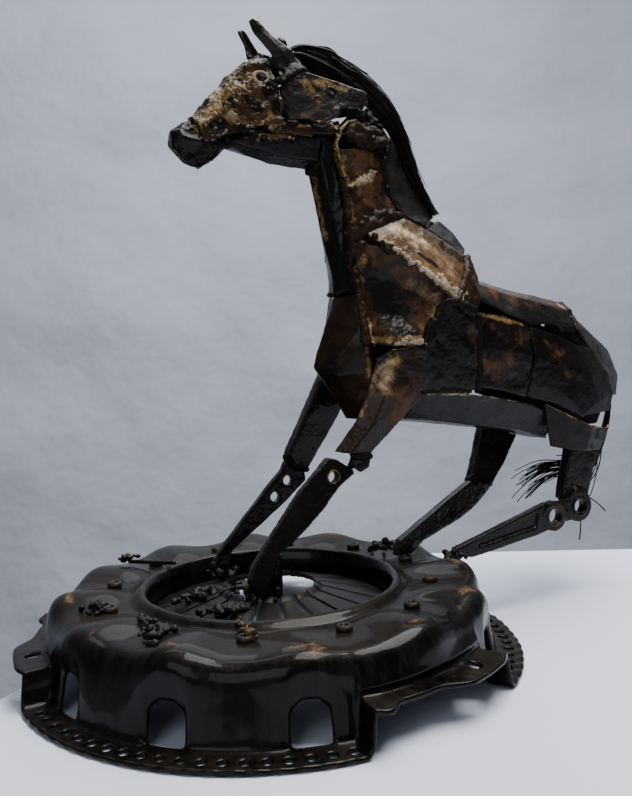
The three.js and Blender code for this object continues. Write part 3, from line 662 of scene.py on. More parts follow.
def addCover(plan):
    bm = bmesh.new()
    points = [at(radius, 0, height) for radius, height, _, _ in plan["rows"]]
    spinProfile(bm, points, at(0, 0, 0), plan["columns"])
    radii = [row[0] for row in plan["rows"]]
    grid = {}
    for vert in bm.verts:
        x, y = vert.co.x - hubX, vert.co.y - hubY
        row = min(range(len(radii)), key=lambda k: abs(radii[k] * mm - math.hypot(x, y)))
        column = round(math.degrees(math.atan2(y, x))) % 360
        grid[column, row] = vert
    for (column, row), vert in grid.items():
        vert.co = coverSpot(plan, column, row)
    doomed = set()
    for lobe in range(plan["lobes"]):
        middle = plan["firstLobe"] + 30 * lobe
        if middle in plan["raisedMiddles"]:
            continue
        half = plan["windowHalf"]
        corners = {grid[(middle + turn) % 360, row] for turn in range(-half, half + 1)
                   for row in range(*plan["windowRows"])}
        doomed |= {face for face in bm.faces if all(vert in corners for vert in face.verts)}
    bmesh.ops.delete(bm, geom=list(doomed), context="FACES")
    ring = [(-1, -1), (0, -1), (1, -1), (1, 0), (1, 1), (0, 1), (-1, 1), (-1, 0)]

    def roundHole(column, row, radius):
        middle = grid[column % 360, row].co.copy()
        outward = Vector((middle.x - hubX, middle.y - hubY, 0)).normalized()
        around = Vector((-outward.y, outward.x, 0))
        for turn, step in ring:
            angle = math.atan2(step, turn)
            spot = grid[(column + turn) % 360, row + step]
            spot.co = middle + (around * math.cos(angle) - outward * math.sin(angle)) * radius * mm
        bmesh.ops.delete(bm, geom=[grid[column % 360, row]], context="VERTS")

    for column in range(2, 360, plan["holeEvery"]):
        if abs(fromMiddle(column, plan["raisedMiddles"])) > plan["raisedHalf"] + 2.5:
            roundHole(column, 3, plan["holeRadius"])
    for middle in plan["raisedMiddles"]:
        roundHole(middle + plan["boltTurn"], 4, plan["boltRadius"])
    bmesh.ops.recalc_face_normals(bm, faces=bm.faces)
    top = max(bm.faces, key=lambda face: face.calc_center_median().z)
    if top.normal.z < 0:
        bmesh.ops.reverse_faces(bm, faces=bm.faces)
    cover = newPiece("pressed_cover", bm)
    addWall(cover, plan["wall"], 0.3)
    addRounding(cover)
    addDisplace(cover, dents, 1.6)
    addDisplace(cover, ripples, 0.35)
    bake(cover)
    spots = places(cover.data)
    mark(cover, {})
    x, y = spots[:, 0] / mm - hubX / mm, spots[:, 1] / mm - hubY / mm
    radius, angle = np.hypot(x, y), np.degrees(np.arctan2(y, x))
    rib = (0.5 + 0.5 * np.cos(np.radians(plan["lobes"] * (angle - plan["firstLobe"])))) ** 1.3
    crest = rib * np.clip(1 - np.abs(radius - 188) / 20, 0, 1)
    putAttribute(cover.data, "rust", np.clip(crest * 0.75 + np.clip((radius - 222) / 30, 0, 0.3), 0, 1))
    return finished(cover, "cover_paint", "clutch_cover")


cover = addCover(coverPlan)
print("cover made:", len(cover.data.polygons))

# diaphragm spring with its slotted fingers

springPlan = {
    "fingers": 18, "turn": -4, "slot": 3.2, "thick": 3.2,
    "rows": ((165, 41), (150, 42.3), (134, 43.8), (120, 45), (113, 45.6), (108, 46.6), (98, 49), (86, 52),
             (74, 55.2), (63, 58.3), (55, 60.6), (50.5, 61.6), (47.5, 64.6), (43.5, 66.2)),
    "shares": (-1, -0.8, -0.45, 0, 0.45, 0.8, 1), "slotFrom": 5,
}


def addSpring(plan):
    bm = bmesh.new()
    period = 360 / plan["fingers"]
    for finger in range(plan["fingers"]):
        middle = finger * period + plan["turn"] + period / 2
        leaf = bmesh.ops.create_grid(bm, x_segments=len(plan["shares"]) - 1,
                                     y_segments=len(plan["rows"]) - 1, size=0.5)
        leafVerts = sorted(leaf["verts"], key=lambda vert: (round(vert.co.y, 4), vert.co.x))
        for index, vert in enumerate(leafVerts):
            row, column = divmod(index, len(plan["shares"]))
            radius, height = plan["rows"][row]
            half = period / 2
            if row >= plan["slotFrom"]:
                half -= math.degrees(math.asin(plan["slot"] / 2 / radius))
            crown = 0.9 * (1 - plan["shares"][column] ** 2) if row >= plan["slotFrom"] else 0
            angle = math.radians(middle + plan["shares"][column] * half)
            vert.co = at(radius * math.cos(angle), radius * math.sin(angle), height + crown)
    bmesh.ops.remove_doubles(bm, verts=bm.verts, dist=1e-5)
    bmesh.ops.recalc_face_normals(bm, faces=bm.faces)
    if sum(face.normal.z for face in bm.faces) < 0:
        bmesh.ops.reverse_faces(bm, faces=bm.faces)
    spring = newPiece("slotted_spring", bm)
    addWall(spring, plan["thick"])
    addLayer(spring, "BEVEL", width=0.5 * mm, segments=2, limit_method="ANGLE")
    addRounding(spring)
    addDisplace(spring, ripples, 0.5)
    worked(spring, "spring_steel", "diaphragm_spring")


addSpring(springPlan)

# rivets that hold the spring

rivetPlan = {"segments": 20, "headHeight": 4.6,
             "profile": ((0, 2.2), (2.4, 2.2), (3.0, 3.9), (4.4, 4.6), (6.4, 4.2), (7.4, 2.6), (7.5, -2.5))}


def addRivet(node, plan):
    low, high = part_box(node)
    middle = (low + high) / 2
    foot = high.z - plan["headHeight"] * mm
    bm = bmesh.new()
    points = [(middle.x + radius * mm, middle.y, foot + height * mm) for radius, height in plan["profile"]]
    spinProfile(bm, points, middle, plan["segments"])
    bmesh.ops.remove_doubles(bm, verts=bm.verts, dist=1e-6)
    bottom = [edge for edge in bm.edges if edge.is_boundary]
    bmesh.ops.contextual_create(bm, geom=bottom)
    bmesh.ops.recalc_face_normals(bm, faces=bm.faces)
    piece = newPiece("head_" + node, bm)
    addRounding(piece)
    addDisplace(piece, pits, 0.5)
    worked(piece, "spring_steel", node)


for node in sorted(frame["nodes"]):
    if node.startswith("rivet_"):
        addRivet(node, rivetPlan)

pin = newPiece("dropped_pin", nodeCopy("loose_pin"))
addRemesh(pin, 0.7)
addDisplace(pin, pits, 0.8)
worked(pin, "spring_steel", "loose_pin")
print("base made")

# weld metal: beads of small lumps, melted together by a remesh


def lumpMesh():
    bm = bmesh.new()
    bmesh.ops.create_icosphere(bm, subdivisions=1, radius=1)
    mesh = bpy.data.meshes.new("lump")
    bm.to_mesh(mesh)
    bm.free()
    return mesh


lump = lumpMesh()


def lumpPile(name, lumps, voxel, slot, material, draw, rough=0.5, melt=2):
    # lumps are (place, radius in mm) pairs
    bm = bmesh.new()
    for place, radius in lumps:
        one = lump.copy()
        stretch = [radius * mm * draw.uniform(0.75, 1.25) for _ in range(3)]
        turn = Matrix.Rotation(draw.uniform(0, math.tau), 4, "Z")
        turn = turn @ Matrix.Rotation(draw.uniform(0, math.tau), 4, "X")
        one.transform(Matrix.Translation(place) @ turn @ Matrix.Diagonal((*stretch, 1)))
        bm.from_mesh(one)
        bpy.data.meshes.remove(one)
    pile = newPiece(name, bm)
    addRemesh(pile, voxel)
    addSmooth(pile, melt)
    addDisplace(pile, pits, rough)
    return worked(pile, slot, rubbed=1.2, material=material)


def seamSpots(first, second, reach, every, draw):
    # points of one plate that lie close to the other, thinned out to an even row
    tree = BVHTree.FromObject(worn[second], bpy.context.evaluated_depsgraph_get())
    spots = places(worn[first].data)
    low, high = (np.array(corner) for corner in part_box(second))
    margin = (reach + 3) * mm
    near = spots[((spots > low - margin) & (spots < high + margin)).all(axis=1)]
    kept = []
    order = list(range(len(near)))
    draw.shuffle(order)
    taken = {}
    cell = every * mm
    for index in order:
        spot = Vector(near[index])
        key = tuple(int(math.floor(value / cell)) for value in spot)
        if key in taken:
            continue
        if tree.find_nearest(spot, reach * mm)[0] is not None:
            taken[key] = True
            kept.append(spot)
    return kept


seams = {
    "pale": {"radius": 2.0, "every": 1.4, "reach": 2.0, "melt": 3, "slot": "cream_steel",
             "material": "creamScrap", "pairs": (
        "shoulder_top_left shoulder_panel_left",)},
    "gold": {"radius": 2.4, "every": 1.8, "reach": 2.6, "melt": 3, "slot": "weld_gold",
             "material": "goldWeld", "pairs": (
        "face_plate muzzle", "face_plate jaw_trough", "face_plate cheek_plate_left",
        "cheek_bar_left jaw_trough", "neck_side_left neck_collar_left", "face_plate cheek_bar_left",
        "shoulder_panel_left left_forearm")},
    "brown": {"radius": 3.8, "every": 2.2, "reach": 5.0, "melt": 16, "slot": "umber_steel",
              "material": "umberWeld", "pairs": (
        "shoulder_panel_left chest_plate", "shoulder_panel_left neck_side_left",
        "shoulder_cap_left shoulder_top_left", "shoulder_panel_left shoulder_cap_left",
        "side_plate_left back_plate", "neck_side_left shoulder_top_left",
        "shoulder_panel_left neck_front_plate", "neck_side_left neck_front_plate",
        "shoulder_panel_right neck_side_right", "shoulder_top_right neck_side_right",
        "shoulder_top_right shoulder_panel_right", "shoulder_cap_right shoulder_top_right",
        "shoulder_panel_right shoulder_cap_right", "shoulder_panel_right chest_plate")},
    "fine": {"radius": 2.0, "every": 1.4, "reach": 3.0, "melt": 12, "slot": "black_steel",
             "material": "blackWeld", "pairs": (
        "girth_panel_left side_plate_left", "side_plate_left haunch_plate_left",
        "girth_panel_right side_plate_right", "side_plate_right haunch_plate_right")},
    "dark": {"radius": 3.2, "every": 2.0, "reach": 4.0, "melt": 14, "slot": "black_steel",
             "material": "blackWeld", "pairs": (
        "face_plate skull_cap", "skull_cap ear_left", "skull_cap ear_right", "skull_cap poll_knob",
        "skull_cap cheek_plate_left", "cheek_plate_left jaw_trough", "cheek_bar_left cheek_plate_left",
        "jaw_trough muzzle", "neck_side_left crest_plate", "neck_front_plate chest_plate",
        "neck_front_plate jaw_trough", "girth_panel_left belly_plate", "side_plate_left belly_plate",
        "haunch_plate_left belly_plate", "back_plate rump_strap", "thigh_cup haunch_plate_left",
        "shoulder_cap_left girth_panel_left", "shoulder_panel_left girth_panel_left",
        "left_hind_post thigh_cup", "left_hind_post left_hind_lever", "right_gaskin right_hind_cannon",
        "right_forearm right_cannon", "left_forearm left_cannon", "knee_tab left_forearm",
        "knee_tab left_cannon", "crest_plate shoulder_top_left", "crest_plate shoulder_top_right",
        "neck_side_right neck_front_plate", "neck_side_right crest_plate",
        "girth_panel_right shoulder_cap_right", "girth_panel_right belly_plate",
        "side_plate_right belly_plate", "haunch_plate_right belly_plate", "side_plate_right back_plate",
        "cheek_plate_right jaw_trough", "face_plate cheek_plate_right", "withers_lobe shoulder_top_right",
        "withers_lobe crest_plate")},
}
weldSpots = []


def weldSeams(kind, plan, seed):
    draw = random.Random(seed)
    lumps = []
    for first, second in (pair.split() for pair in plan["pairs"]):
        found = seamSpots(first, second, plan["reach"], plan["every"], draw)
        lumps += [(spot, plan["radius"] * draw.uniform(0.7, 1.2)) for spot in found]
    weldSpots.extend(place for place, _ in lumps)
    pile = lumpPile(kind + "_welds", lumps, 0.95, plan["slot"], plan["material"], draw, 0.6, plan["melt"])
    print(kind, "welds:", len(lumps), "lumps,", len(pile.data.polygons), "faces")


for seed, (kind, plan) in enumerate(seams.items()):
    weldSeams(kind, plan, seed + 3)


def heatPlates(reach=9):
    # the plates are tinted by the heat of the welds beside them
    tree = KDTree(len(weldSpots))
    for index, spot in enumerate(weldSpots):
        tree.insert(spot, index)
    tree.balance()
    for piece in worn.values():
        spots = places(piece.data)
        away = np.array([tree.find(spot)[2] for spot in spots])
        putAttribute(piece.data, "heat", np.exp(-away / (reach * mm)))


heatPlates()
print("plates tinted")

# mane and tail: frayed wire rope

manePlan = {
    "strands": 480, "locks": 44, "thick": 0.85, "half": 10, "turns": 26,
    "top": ((52, 584), (66, 591), (92, 590), (110, 581), (128, 573), (150, 559), (171, 537), (187, 502),
            (199, 468), (219, 430)),
    "low": ((56, 574), (68, 571), (94, 561), (114, 553), (130, 546), (148, 529), (170, 506), (183, 474),
            (203, 441), (215, 430)),
}
tailPlan = {  # the path as x, y, z points and the strays as x, z, half points
    "strands": 64, "thick": 1.15, "turns": 26, "spread": 9, "strayTurns": 11,
    "path": ((462, -6, 208), (446, -11, 172), (420, -12, 140), (394, -3, 139), (362, 8, 135),
             (330, 16, 116)),
    "strays": (((446, 180, 6), (448, 140, 6), (421, 112, 8)), ((446, 176, 8), (452, 130, 6), (426, 118, 8)),
               ((440, 170, 4), (450, 130, 4), (428, 99, 6)), ((420, 100, 2), (440, 96, 0), (459, 76, 0)),
               ((417, 92, 2), (420, 66, 0), (416, 46, 0)), ((442, 172, 9), (440, 140, 7), (416, 120, 8))),
}


def along(points, share):
    # point on a smooth line through the points, share from 0 to 1
    place = min(max(share, 0), 1) * (len(points) - 1)
    index = min(int(place), len(points) - 2)
    inside = place - index
    before, first = Vector(points[max(index - 1, 0)]), Vector(points[index])
    second, after = Vector(points[index + 1]), Vector(points[min(index + 2, len(points) - 1)])
    slope = (second - before) * inside
    square = (2 * before - 5 * first + 4 * second - after) * inside ** 2
    cube = (3 * first - before - 3 * second + after) * inside ** 3
    return 0.5 * (2 * first + slope + square + cube)


def strandPiece(name, lines, thick):
    curve = bpy.data.curves.new(name, "CURVE")
    curve.dimensions = "3D"
    curve.bevel_depth = thick * mm
    curve.bevel_resolution = 0
    curve.use_fill_caps = True
    for points in lines:
        line = curve.splines.new("POLY")
        line.points.add(len(points) - 1)
        for spot, (point, width) in zip(line.points, points):
            spot.co = (*point, 1)
            spot.radius = width
    shell = placed(name + "_line", curve)
    mesh = bpy.data.meshes.new_from_object(shell.evaluated_get(bpy.context.evaluated_depsgraph_get()))
    bpy.data.objects.remove(shell)
    mesh.name = name
    piece = placed(name, mesh)
    for polygon in mesh.polygons:
        polygon.use_smooth = True
    return piece


def addMane(plan):
    draw = random.Random(21)
    lines = []
    locks = [(draw.uniform(0, 0.6), draw.betavariate(1.1, 1.5), draw.uniform(-1, 1),
              draw.uniform(-0.3, 0.3), draw.uniform(0, 1) ** 2 * 9) for _ in range(plan["locks"])]
    for strand in range(plan["strands"]):
        first, level, side, wander, flick = locks[strand % len(locks)]
        start = max(-0.02, first + draw.gauss(0, 0.03))
        stop = min(start + draw.uniform(0.28, 0.62), 1.0)
        level = min(max(level + draw.gauss(0, 0.06), -0.08), 1)
        side += draw.gauss(0, 0.2)
        phase = draw.uniform(0, math.tau)
        flick *= draw.uniform(0.4, 1.1)
        points = []
        for step in range(plan["turns"]):
            share = step / (plan["turns"] - 1)
            place = start + (stop - start) * share
            top, low = along(plan["top"], place), along(plan["low"], place)
            mix = min(max(level + wander * (share - 0.5) + 0.05 * math.sin(phase + 8 * share), -0.12), 1)
            flat = top.lerp(low, mix) + (top - low) * 0.02
            lift = flick * max(0, share - 0.6) ** 1.5 / 0.25
            bow = 1.2 * math.sin(phase + 6 * share)
            half = plan["half"] * side * (1 - 0.5 * place) * (0.8 + 0.45 * mix) + bow
            spot = beside(flat.x + lift, flat.y + 0.6 * lift * (1 - place), half)
            points.append((spot, 1.2 - 0.8 * share))
        lines.append(points)
    finished(strandPiece("mane_strands", lines, plan["thick"]), "wire")


def addTail(plan):
    draw = random.Random(34)
    lines = []
    for strand in range(plan["strands"]):
        start = draw.uniform(0, 0.1)
        stop = draw.uniform(0.62, 1.0)
        angle = draw.uniform(0, math.tau)
        reach = draw.uniform(0.15, 1)
        curl = draw.uniform(-9, 5)
        points = []
        for step in range(plan["turns"]):
            share = step / (plan["turns"] - 1)
            middle = along(plan["path"], start + (stop - start) * share)
            spread = plan["spread"] * reach * (0.35 + 1.5 * share ** 1.6)
            turned = angle + 1.3 * share
            drop = curl * max(0, share - 0.72) / 0.28
            spot = beside(middle.x + 0.4 * spread * math.cos(turned),
                          middle.z + spread * math.sin(turned) + drop,
                          -middle.y + 0.8 * spread * math.cos(turned))
            points.append((spot, 1.15 - 0.6 * share))
        lines.append(points)
    for first, bend, last in (map(Vector, stray) for stray in plan["strays"]):
        shares = [step / plan["strayTurns"] for step in range(plan["strayTurns"] + 1)]
        lines.append([(beside(*first.lerp(bend, share).lerp(bend.lerp(last, share), share)), 0.7)
                      for share in shares])
    finished(strandPiece("tail_strands", lines, plan["thick"]), "wire", "tail")


addMane(manePlan)
addTail(tailPlan)
maneCore = newPiece("mane_core", nodeCopy("mane"))
addRemesh(maneCore, 1.6)
addSmooth(maneCore, 12)
addLayer(maneCore, "DISPLACE", strength=-3 * mm, mid_level=0)
addDisplace(maneCore, ripples, 2)
worked(maneCore, "wire", "mane")
print("mane and tail made")

# small relief laid on the plates

depsgraph = bpy.context.evaluated_depsgraph_get()
surfaces = {node: BVHTree.FromObject(piece, depsgraph) for node, piece in worn.items()}


def onSkin(x, z, side=leftSide):
    # where a straight line from the horse's side first meets a plate
    start = beside(x, z, 300, side)
    best = None
    for node, tree in surfaces.items():
        place, _, _, distance = tree.ray_cast(start, Vector((0, -side, 0)), 0.3 + 0.06)
        if place is not None and (best is None or distance < best[1]):
            best = (place, distance)
    return best[0] if best else None


def runOfLumps(plan, side, draw):
    # lumps along a line of x, z points, their size going from the first radius to the last
    firstRadius, lastRadius, every, wide, scatter, half, *points = plan
    lumps = []
    length = sum(math.dist(a, b) for a, b in zip(points, points[1:]))
    steps = max(2, round(length / every))
    for step in range(steps + 1):
        share = step / steps
        spot = along([Vector((*point, 0)) for point in points], share)
        for _ in range(wide):
            x, z = spot.x + draw.gauss(0, scatter), spot.y + draw.gauss(0, scatter)
            place = beside(x, z, half + draw.gauss(0, 2), side) if half else onSkin(x, z, side)
            if place is None:
                continue
            radius = firstRadius + (lastRadius - firstRadius) * share
            lumps.append((place, radius * draw.uniform(0.65, 1.25)))
    return lumps


# runs: first and last radius, spacing, lumps abreast, scatter, half depth or 0 to lie on the plates,
# then the x, z points of the line
beads = {
    "cream_beads": {"slot": "cream_steel", "material": "creamBead", "runs": (
        (1.9, 3.0, 1.2, 2, 1.1, 0, (102, 401), (122, 397), (140, 385), (159, 371), (177, 357), (192, 346)),
        (2.2, 2.8, 1.5, 4, 3.4, 0, (184, 356), (196, 345), (212, 343)),
        (1.7, 2.2, 1.5, 3, 1.8, 0, (136, 292), (150, 296), (162, 293)),
        (1.0, 1.4, 1.7, 1, 0.5, 0, (108, 297), (122, 291), (138, 292)),
        (1.1, 1.9, 1.7, 3, 1.9, 0, (103, 452), (114, 456), (124, 461), (133, 466)),
        (1.5, 1.4, 1.9, 1, 0.9, 0, (-50, 502), (-37, 519), (-23, 535), (-12, 546)),
        (2.2, 2.2, 1.6, 3, 1.6, 0, (-17, 512), (-12, 510)),
        (1.3, 1.5, 1.6, 1, 0.6, 0, (-46, 491), (-34, 489), (-21, 498)),
        (1.6, 1.2, 1.5, 1, 0.4, 23, (84, 511), (91, 505), (92, 497), (89, 486)))},
    "gold_beads": {"slot": "weld_gold", "material": "goldBead", "runs": (
        (1.6, 1.7, 1.7, 1, 0.7, 0, (-12, 546), (-1, 559), (8, 571)),
        (1.8, 1.8, 2.6, 1, 3.2, 0, (-36, 508), (-20, 521), (-4, 536), (6, 546)),
        (1.6, 1.5, 1.8, 3, 3.0, 0, (-4, 502), (10, 503), (18, 497), (30, 500)),
        (1.5, 1.5, 3.0, 1, 2.6, 0, (-12, 530), (4, 524), (14, 514)),
        (1.6, 1.4, 1.7, 1, 0.5, 20, (37, 494), (44, 493)),
        (1.2, 1.2, 2.2, 1, 0.8, 0, (34, 513), (52, 511), (70, 511), (84, 516)),
        (1.4, 1.9, 2.0, 1, 1.1, 0, (105, 337), (110, 319), (108, 298)),
        (1.5, 1.6, 2.0, 1, 1.2, 0, (182, 330), (176, 310), (166, 294)),
        (2.4, 2.2, 1.8, 2, 1.6, 0, (98, 404), (104, 408)),
        (1.0, 1.0, 2.0, 1, 0.4, 0, (326, 220), (352, 205), (380, 192)))},
    "brown_beads": {"slot": "umber_steel", "material": "umberWeld", "melt": 8, "voxel": 1.0, "runs": (
        (5.0, 5.0, 1.8, 3, 2.4, 17, (106, 507), (122, 509), (140, 505)),
        (5.0, 5.0, 1.8, 3, 2.4, 18, (110, 500), (126, 499), (146, 496)),
        (4.2, 4.2, 1.8, 3, 2.2, 0, (102, 403), (114, 413), (134, 421), (153, 423)),
        (4.4, 4.0, 1.8, 3, 2.0, 0, (103, 399), (118, 396), (134, 387)),
        (3.2, 3.2, 2.4, 1, 0.8, 0, (100, 396), (100, 375), (102, 350), (104, 310)))},
    "black_beads": {"slot": "black_steel", "material": "blackWeld", "voxel": 1.0, "runs": (
        (1.0, 1.1, 1.5, 3, 2.8, 0, (186, 352), (200, 344)),
        (1.0, 1.0, 1.5, 2, 1.2, 0, (166, 368), (170, 365)),
        (0.9, 0.9, 1.5, 2, 1.2, 0, (150, 296), (158, 295)),
        (2.0, 2.0, 2.0, 2, 2.4, 0, (24, 545), (34, 534), (32, 518)),
        (3.2, 3.2, 1.8, 3, 2.2, 14, (-5, 501), (8, 496), (33, 494), (56, 496), (80, 500)),
        (2.6, 2.6, 1.8, 3, 2.2, 12, (20, 505), (50, 503), (84, 505)),
        (3.6, 3.6, 1.8, 3, 2.6, 8, (122, 532), (134, 528), (142, 522), (134, 512), (120, 512)),
        (3.4, 3.0, 1.8, 3, 2.6, 12, (92, 512), (88, 500), (84, 488)),
        (4.4, 4.4, 1.8, 3, 2.8, 6, (112, 513), (124, 514), (137, 510), (148, 503)),
        (4.0, 4.0, 1.8, 2, 2.2, 4, (142, 524), (152, 512), (152, 496)),
        (3.8, 3.8, 1.8, 3, 1.4, 12, (114, 527), (127, 523)),
        (4.2, 4.2, 1.8, 2, 1.4, 4, (148, 516), (157, 503), (157, 492)),
        (3.2, 3.2, 1.8, 3, 1.6, 14, (66, 506), (80, 509), (94, 512)),
        (3.6, 3.6, 1.8, 3, 1.8, 7, (-26, 487), (-14, 490), (-2, 493)),
        (1.8, 1.8, 2.6, 1, 2.4, 0, (-58, 478), (-46, 470), (-34, 472)),
        (2.0, 2.0, 1.8, 2, 2.0, 0, (84, 184), (102, 182)))},
}
for seed, (name, plan) in enumerate(beads.items()):
    draw = random.Random(50 + seed)
    lumps = [lump for run in plan["runs"] for lump in runOfLumps(run, leftSide, draw)]
    plainer = plan["runs"][:1] + plan["runs"][5:6] if name != "black_beads" else ()
    lumps += [lump for run in plainer for lump in runOfLumps(run, rightSide, draw)]
    pile = lumpPile(name, lumps, plan.get("voxel", 0.75), plan["slot"], plan["material"], draw, 0.7,
                    plan.get("melt", 3))
    print(name, len(lumps), "lumps,", len(pile.data.polygons), "faces")


# feet welded to the base, and what fell into it

def heap(name, plan, slot, material, seed, voxel=0.9, rough=1.0):
    middle, size, count, radius = plan
    draw = random.Random(seed)
    lumps = []
    for _ in range(count):
        away = Vector([draw.gauss(0, spread * mm) for spread in size])
        lumps.append((middle + away, radius * draw.uniform(0.6, 1.3)))
    return lumpPile(name, lumps, voxel, slot, material, draw, rough, 4)


# middle, spread on each axis, lumps and their radius
heaps = {
    "left_front_foot_weld": (at(-20, -24, 67), (6, 7, 2.4), 46, 4.6),
    "right_front_foot_weld": (at(-25, 74, 64), (6, 7, 3), 30, 4.0),
    "left_hind_foot_weld": (at(198, -26, 70), (6, 6, 3), 26, 4.0),
    "right_hind_foot_weld": (at(152, 42, 70), (8, 6, 4), 30, 4.2),
    "hind_hock_weld": (beside(368, 118, 42), (8, 3, 4), 24, 3.4),
    "slag_lump": (at(-60, 22, 60), (13, 5, 1.6), 56, 4.4),
    "slag_cake": (at(-50, -34, 59), (9, 6, 1.6), 60, 4.2),
    "spatter_ring": (at(-134, -86, 70), (7, 12, 1.2), 46, 3.2),
    "spatter_tip": (at(-138, -55, 69), (3, 6, 1.4), 24, 3.0),
    "spatter_knot": (at(-164, 6, 69), (5, 9, 1.2), 26, 3.0),
    "pin_end_weld": (at(-106, 138, 77), (4, 4, 1.6), 18, 2.8),
}
for seed, (name, plan) in enumerate(heaps.items()):
    heap(name, plan, "spring_steel", "springSteel", 80 + seed)
heap("rusty_drips", (at(-70, -116, 70), (3.0, 14, 1.0), 26, 3.0), "weld_gold", "goldWeld", 95)

ringPlan = {"segments": 28, "sides": 10}


def addRing(name, middle, radius, thick, slot, material, axis=(0, 1, 0), squeeze=(1, 1)):
    bm = bmesh.new()
    circle = bmesh.ops.create_circle(bm, segments=ringPlan["sides"], radius=thick * mm)
    bmesh.ops.rotate(bm, verts=circle["verts"], matrix=Matrix.Rotation(math.pi / 2, 3, "X"), cent=(0, 0, 0))
    bmesh.ops.translate(bm, verts=circle["verts"], vec=(radius * mm, 0, 0))
    bmesh.ops.spin(bm, geom=bm.verts[:] + bm.edges[:], cent=(0, 0, 0), axis=(0, 0, 1), angle=math.tau,
                   steps=ringPlan["segments"], use_merge=True)
    bmesh.ops.scale(bm, vec=(squeeze[0], squeeze[1], 1), verts=bm.verts)
    turn = Vector((0, 0, 1)).rotation_difference(Vector(axis)).to_matrix()
    bmesh.ops.rotate(bm, verts=bm.verts, matrix=turn, cent=(0, 0, 0))
    bmesh.ops.translate(bm, verts=bm.verts, vec=middle)
    bmesh.ops.recalc_face_normals(bm, faces=bm.faces)
    ring = newPiece(name, bm)
    addRemesh(ring, 0.45)
    addDisplace(ring, pits, 0.9)
    worked(ring, slot, material=material)


rings = {
    "eye_rim": {"x": 15, "z": 549.5, "radius": 5.6, "thick": 1.6, "slot": "cream_steel",
                "material": "creamBead", "squeeze": (1.3, 0.9), "both": True},
    "cheek_washer": {"x": 88, "z": 541, "radius": 5.6, "thick": 1.2, "slot": "grey_steel",
                     "material": "greyScrap"},
    "cheek_ring": {"x": 71.5, "z": 531, "radius": 5.0, "thick": 0.9, "slot": "weld_gold",
                   "material": "goldWeld"},
    "knee_eyelet": {"x": 60, "z": 167, "radius": 6.4, "thick": 1.1, "slot": "cream_steel",
                    "material": "creamScrap"},
    "lever_eyelet": {"x": 331, "z": 95, "radius": 10.4, "thick": 1.7, "slot": "weld_gold",
                     "material": "goldWeld"},
    "hock_eyelet": {"x": 367, "z": 102, "radius": 10.0, "thick": 1.9, "slot": "black_steel",
                    "material": "blackScrap"},
}
for name, plan in rings.items():
    for side in (leftSide, rightSide) if plan.get("both") else (leftSide,):
        reach = plan["radius"] * 1.05  # just outside the ring
        hits = [onSkin(plan["x"] + dx * reach, plan["z"] + dz * reach, side)
                for dx, dz in ((1, 0), (-1, 0), (0, 1), (0, -1))]
        hits = [hit for hit in hits if hit is not None]
        depth = sum(hit.y for hit in hits) / len(hits)
        middle = Vector((hubX + plan["x"] * mm, depth, plan["z"] * mm))
        label = name if side == leftSide else name + "_right"
        addRing(label, middle, plan["radius"], plan["thick"], plan["slot"], plan["material"], (0, side, 0),
                plan.get("squeeze", (1, 1)))
for side, label in ((leftSide, "eye_left"), (rightSide, "eye_right")):
    eye = (onSkin(15, 549.5, side), (0.9, 0.5, 0.6), 7, 2.8)
    heap(label, eye, "black_steel", "blackScrap", 120, 0.6, 0.3)
plug = Vector((hubX + 87 * mm, onSkin(79, 541).y + 2 * mm, 540 * mm))
heap("cheek_plug", (plug, (1.4, 0.5, 1.4), 16, 3.8), "black_steel", "blackWeld", 121)

# dark sheets inside the haunches, down to the thigh cup, and one along the barrel: painted shade for the
# hollow body, which also keeps light from passing through the gaps
shadeWebs = {
    "hip_shade_web": {"half": 27, "sides": (leftSide, rightSide), "outline": (
        (322, 240), (380, 240), (424, 238), (437, 224), (427, 200), (422, 190), (396, 189), (340, 210))},
    "barrel_shade_web": {"half": 4, "sides": (leftSide,), "outline": (
        (182, 308), (240, 335), (300, 328), (350, 313), (396, 292), (402, 252), (340, 234), (262, 238),
        (182, 250))},
}
webWall = 3
for name, plan in shadeWebs.items():
    for side in plan["sides"]:
        bm = bmesh.new()
        corners = [bm.verts.new(beside(x, z, plan["half"], side)) for x, z in plan["outline"]]
        sheet = bmesh.ops.contextual_create(bm, geom=corners)["faces"]
        moved = bmesh.ops.extrude_face_region(bm, geom=sheet)
        bmesh.ops.translate(bm, vec=(0, -side * webWall * mm, 0),
                            verts=[part for part in moved["geom"] if isinstance(part, bmesh.types.BMVert)])
        bmesh.ops.recalc_face_normals(bm, faces=bm.faces)
        web = newPiece(name + ("_left" if side == leftSide else "_right"), bm)
        addRemesh(web, 1.4)
        addSmooth(web, 4)
        addDisplace(web, ripples, 0.8)
        worked(web, "black_steel", material="blackWeld")
print("relief made")

# camera, lights and the table

cameraPlan = {"place": (-294.1, -727.8, 293.9), "heading": 25.78, "dip": 3.62, "roll": 2.3, "lens": 37.09}


def addCamera(plan):
    heading, dip, roll = (math.radians(plan[key]) for key in ("heading", "dip", "roll"))
    forward = Vector((math.sin(heading) * math.cos(dip), math.cos(heading) * math.cos(dip), -math.sin(dip)))
    right = Vector((math.cos(heading), -math.sin(heading), 0))
    up = right.cross(forward)
    across = right * math.cos(roll) - up * math.sin(roll)
    above = right * math.sin(roll) + up * math.cos(roll)
    camera = placed("camera", bpy.data.cameras.new("camera"))
    camera.data.lens = plan["lens"]
    camera.data.sensor_width = 36
    turn = Matrix((across, above, -forward)).transposed().to_4x4()
    camera.matrix_world = Matrix.Translation(at(*plan["place"])) @ turn
    scene.camera = camera


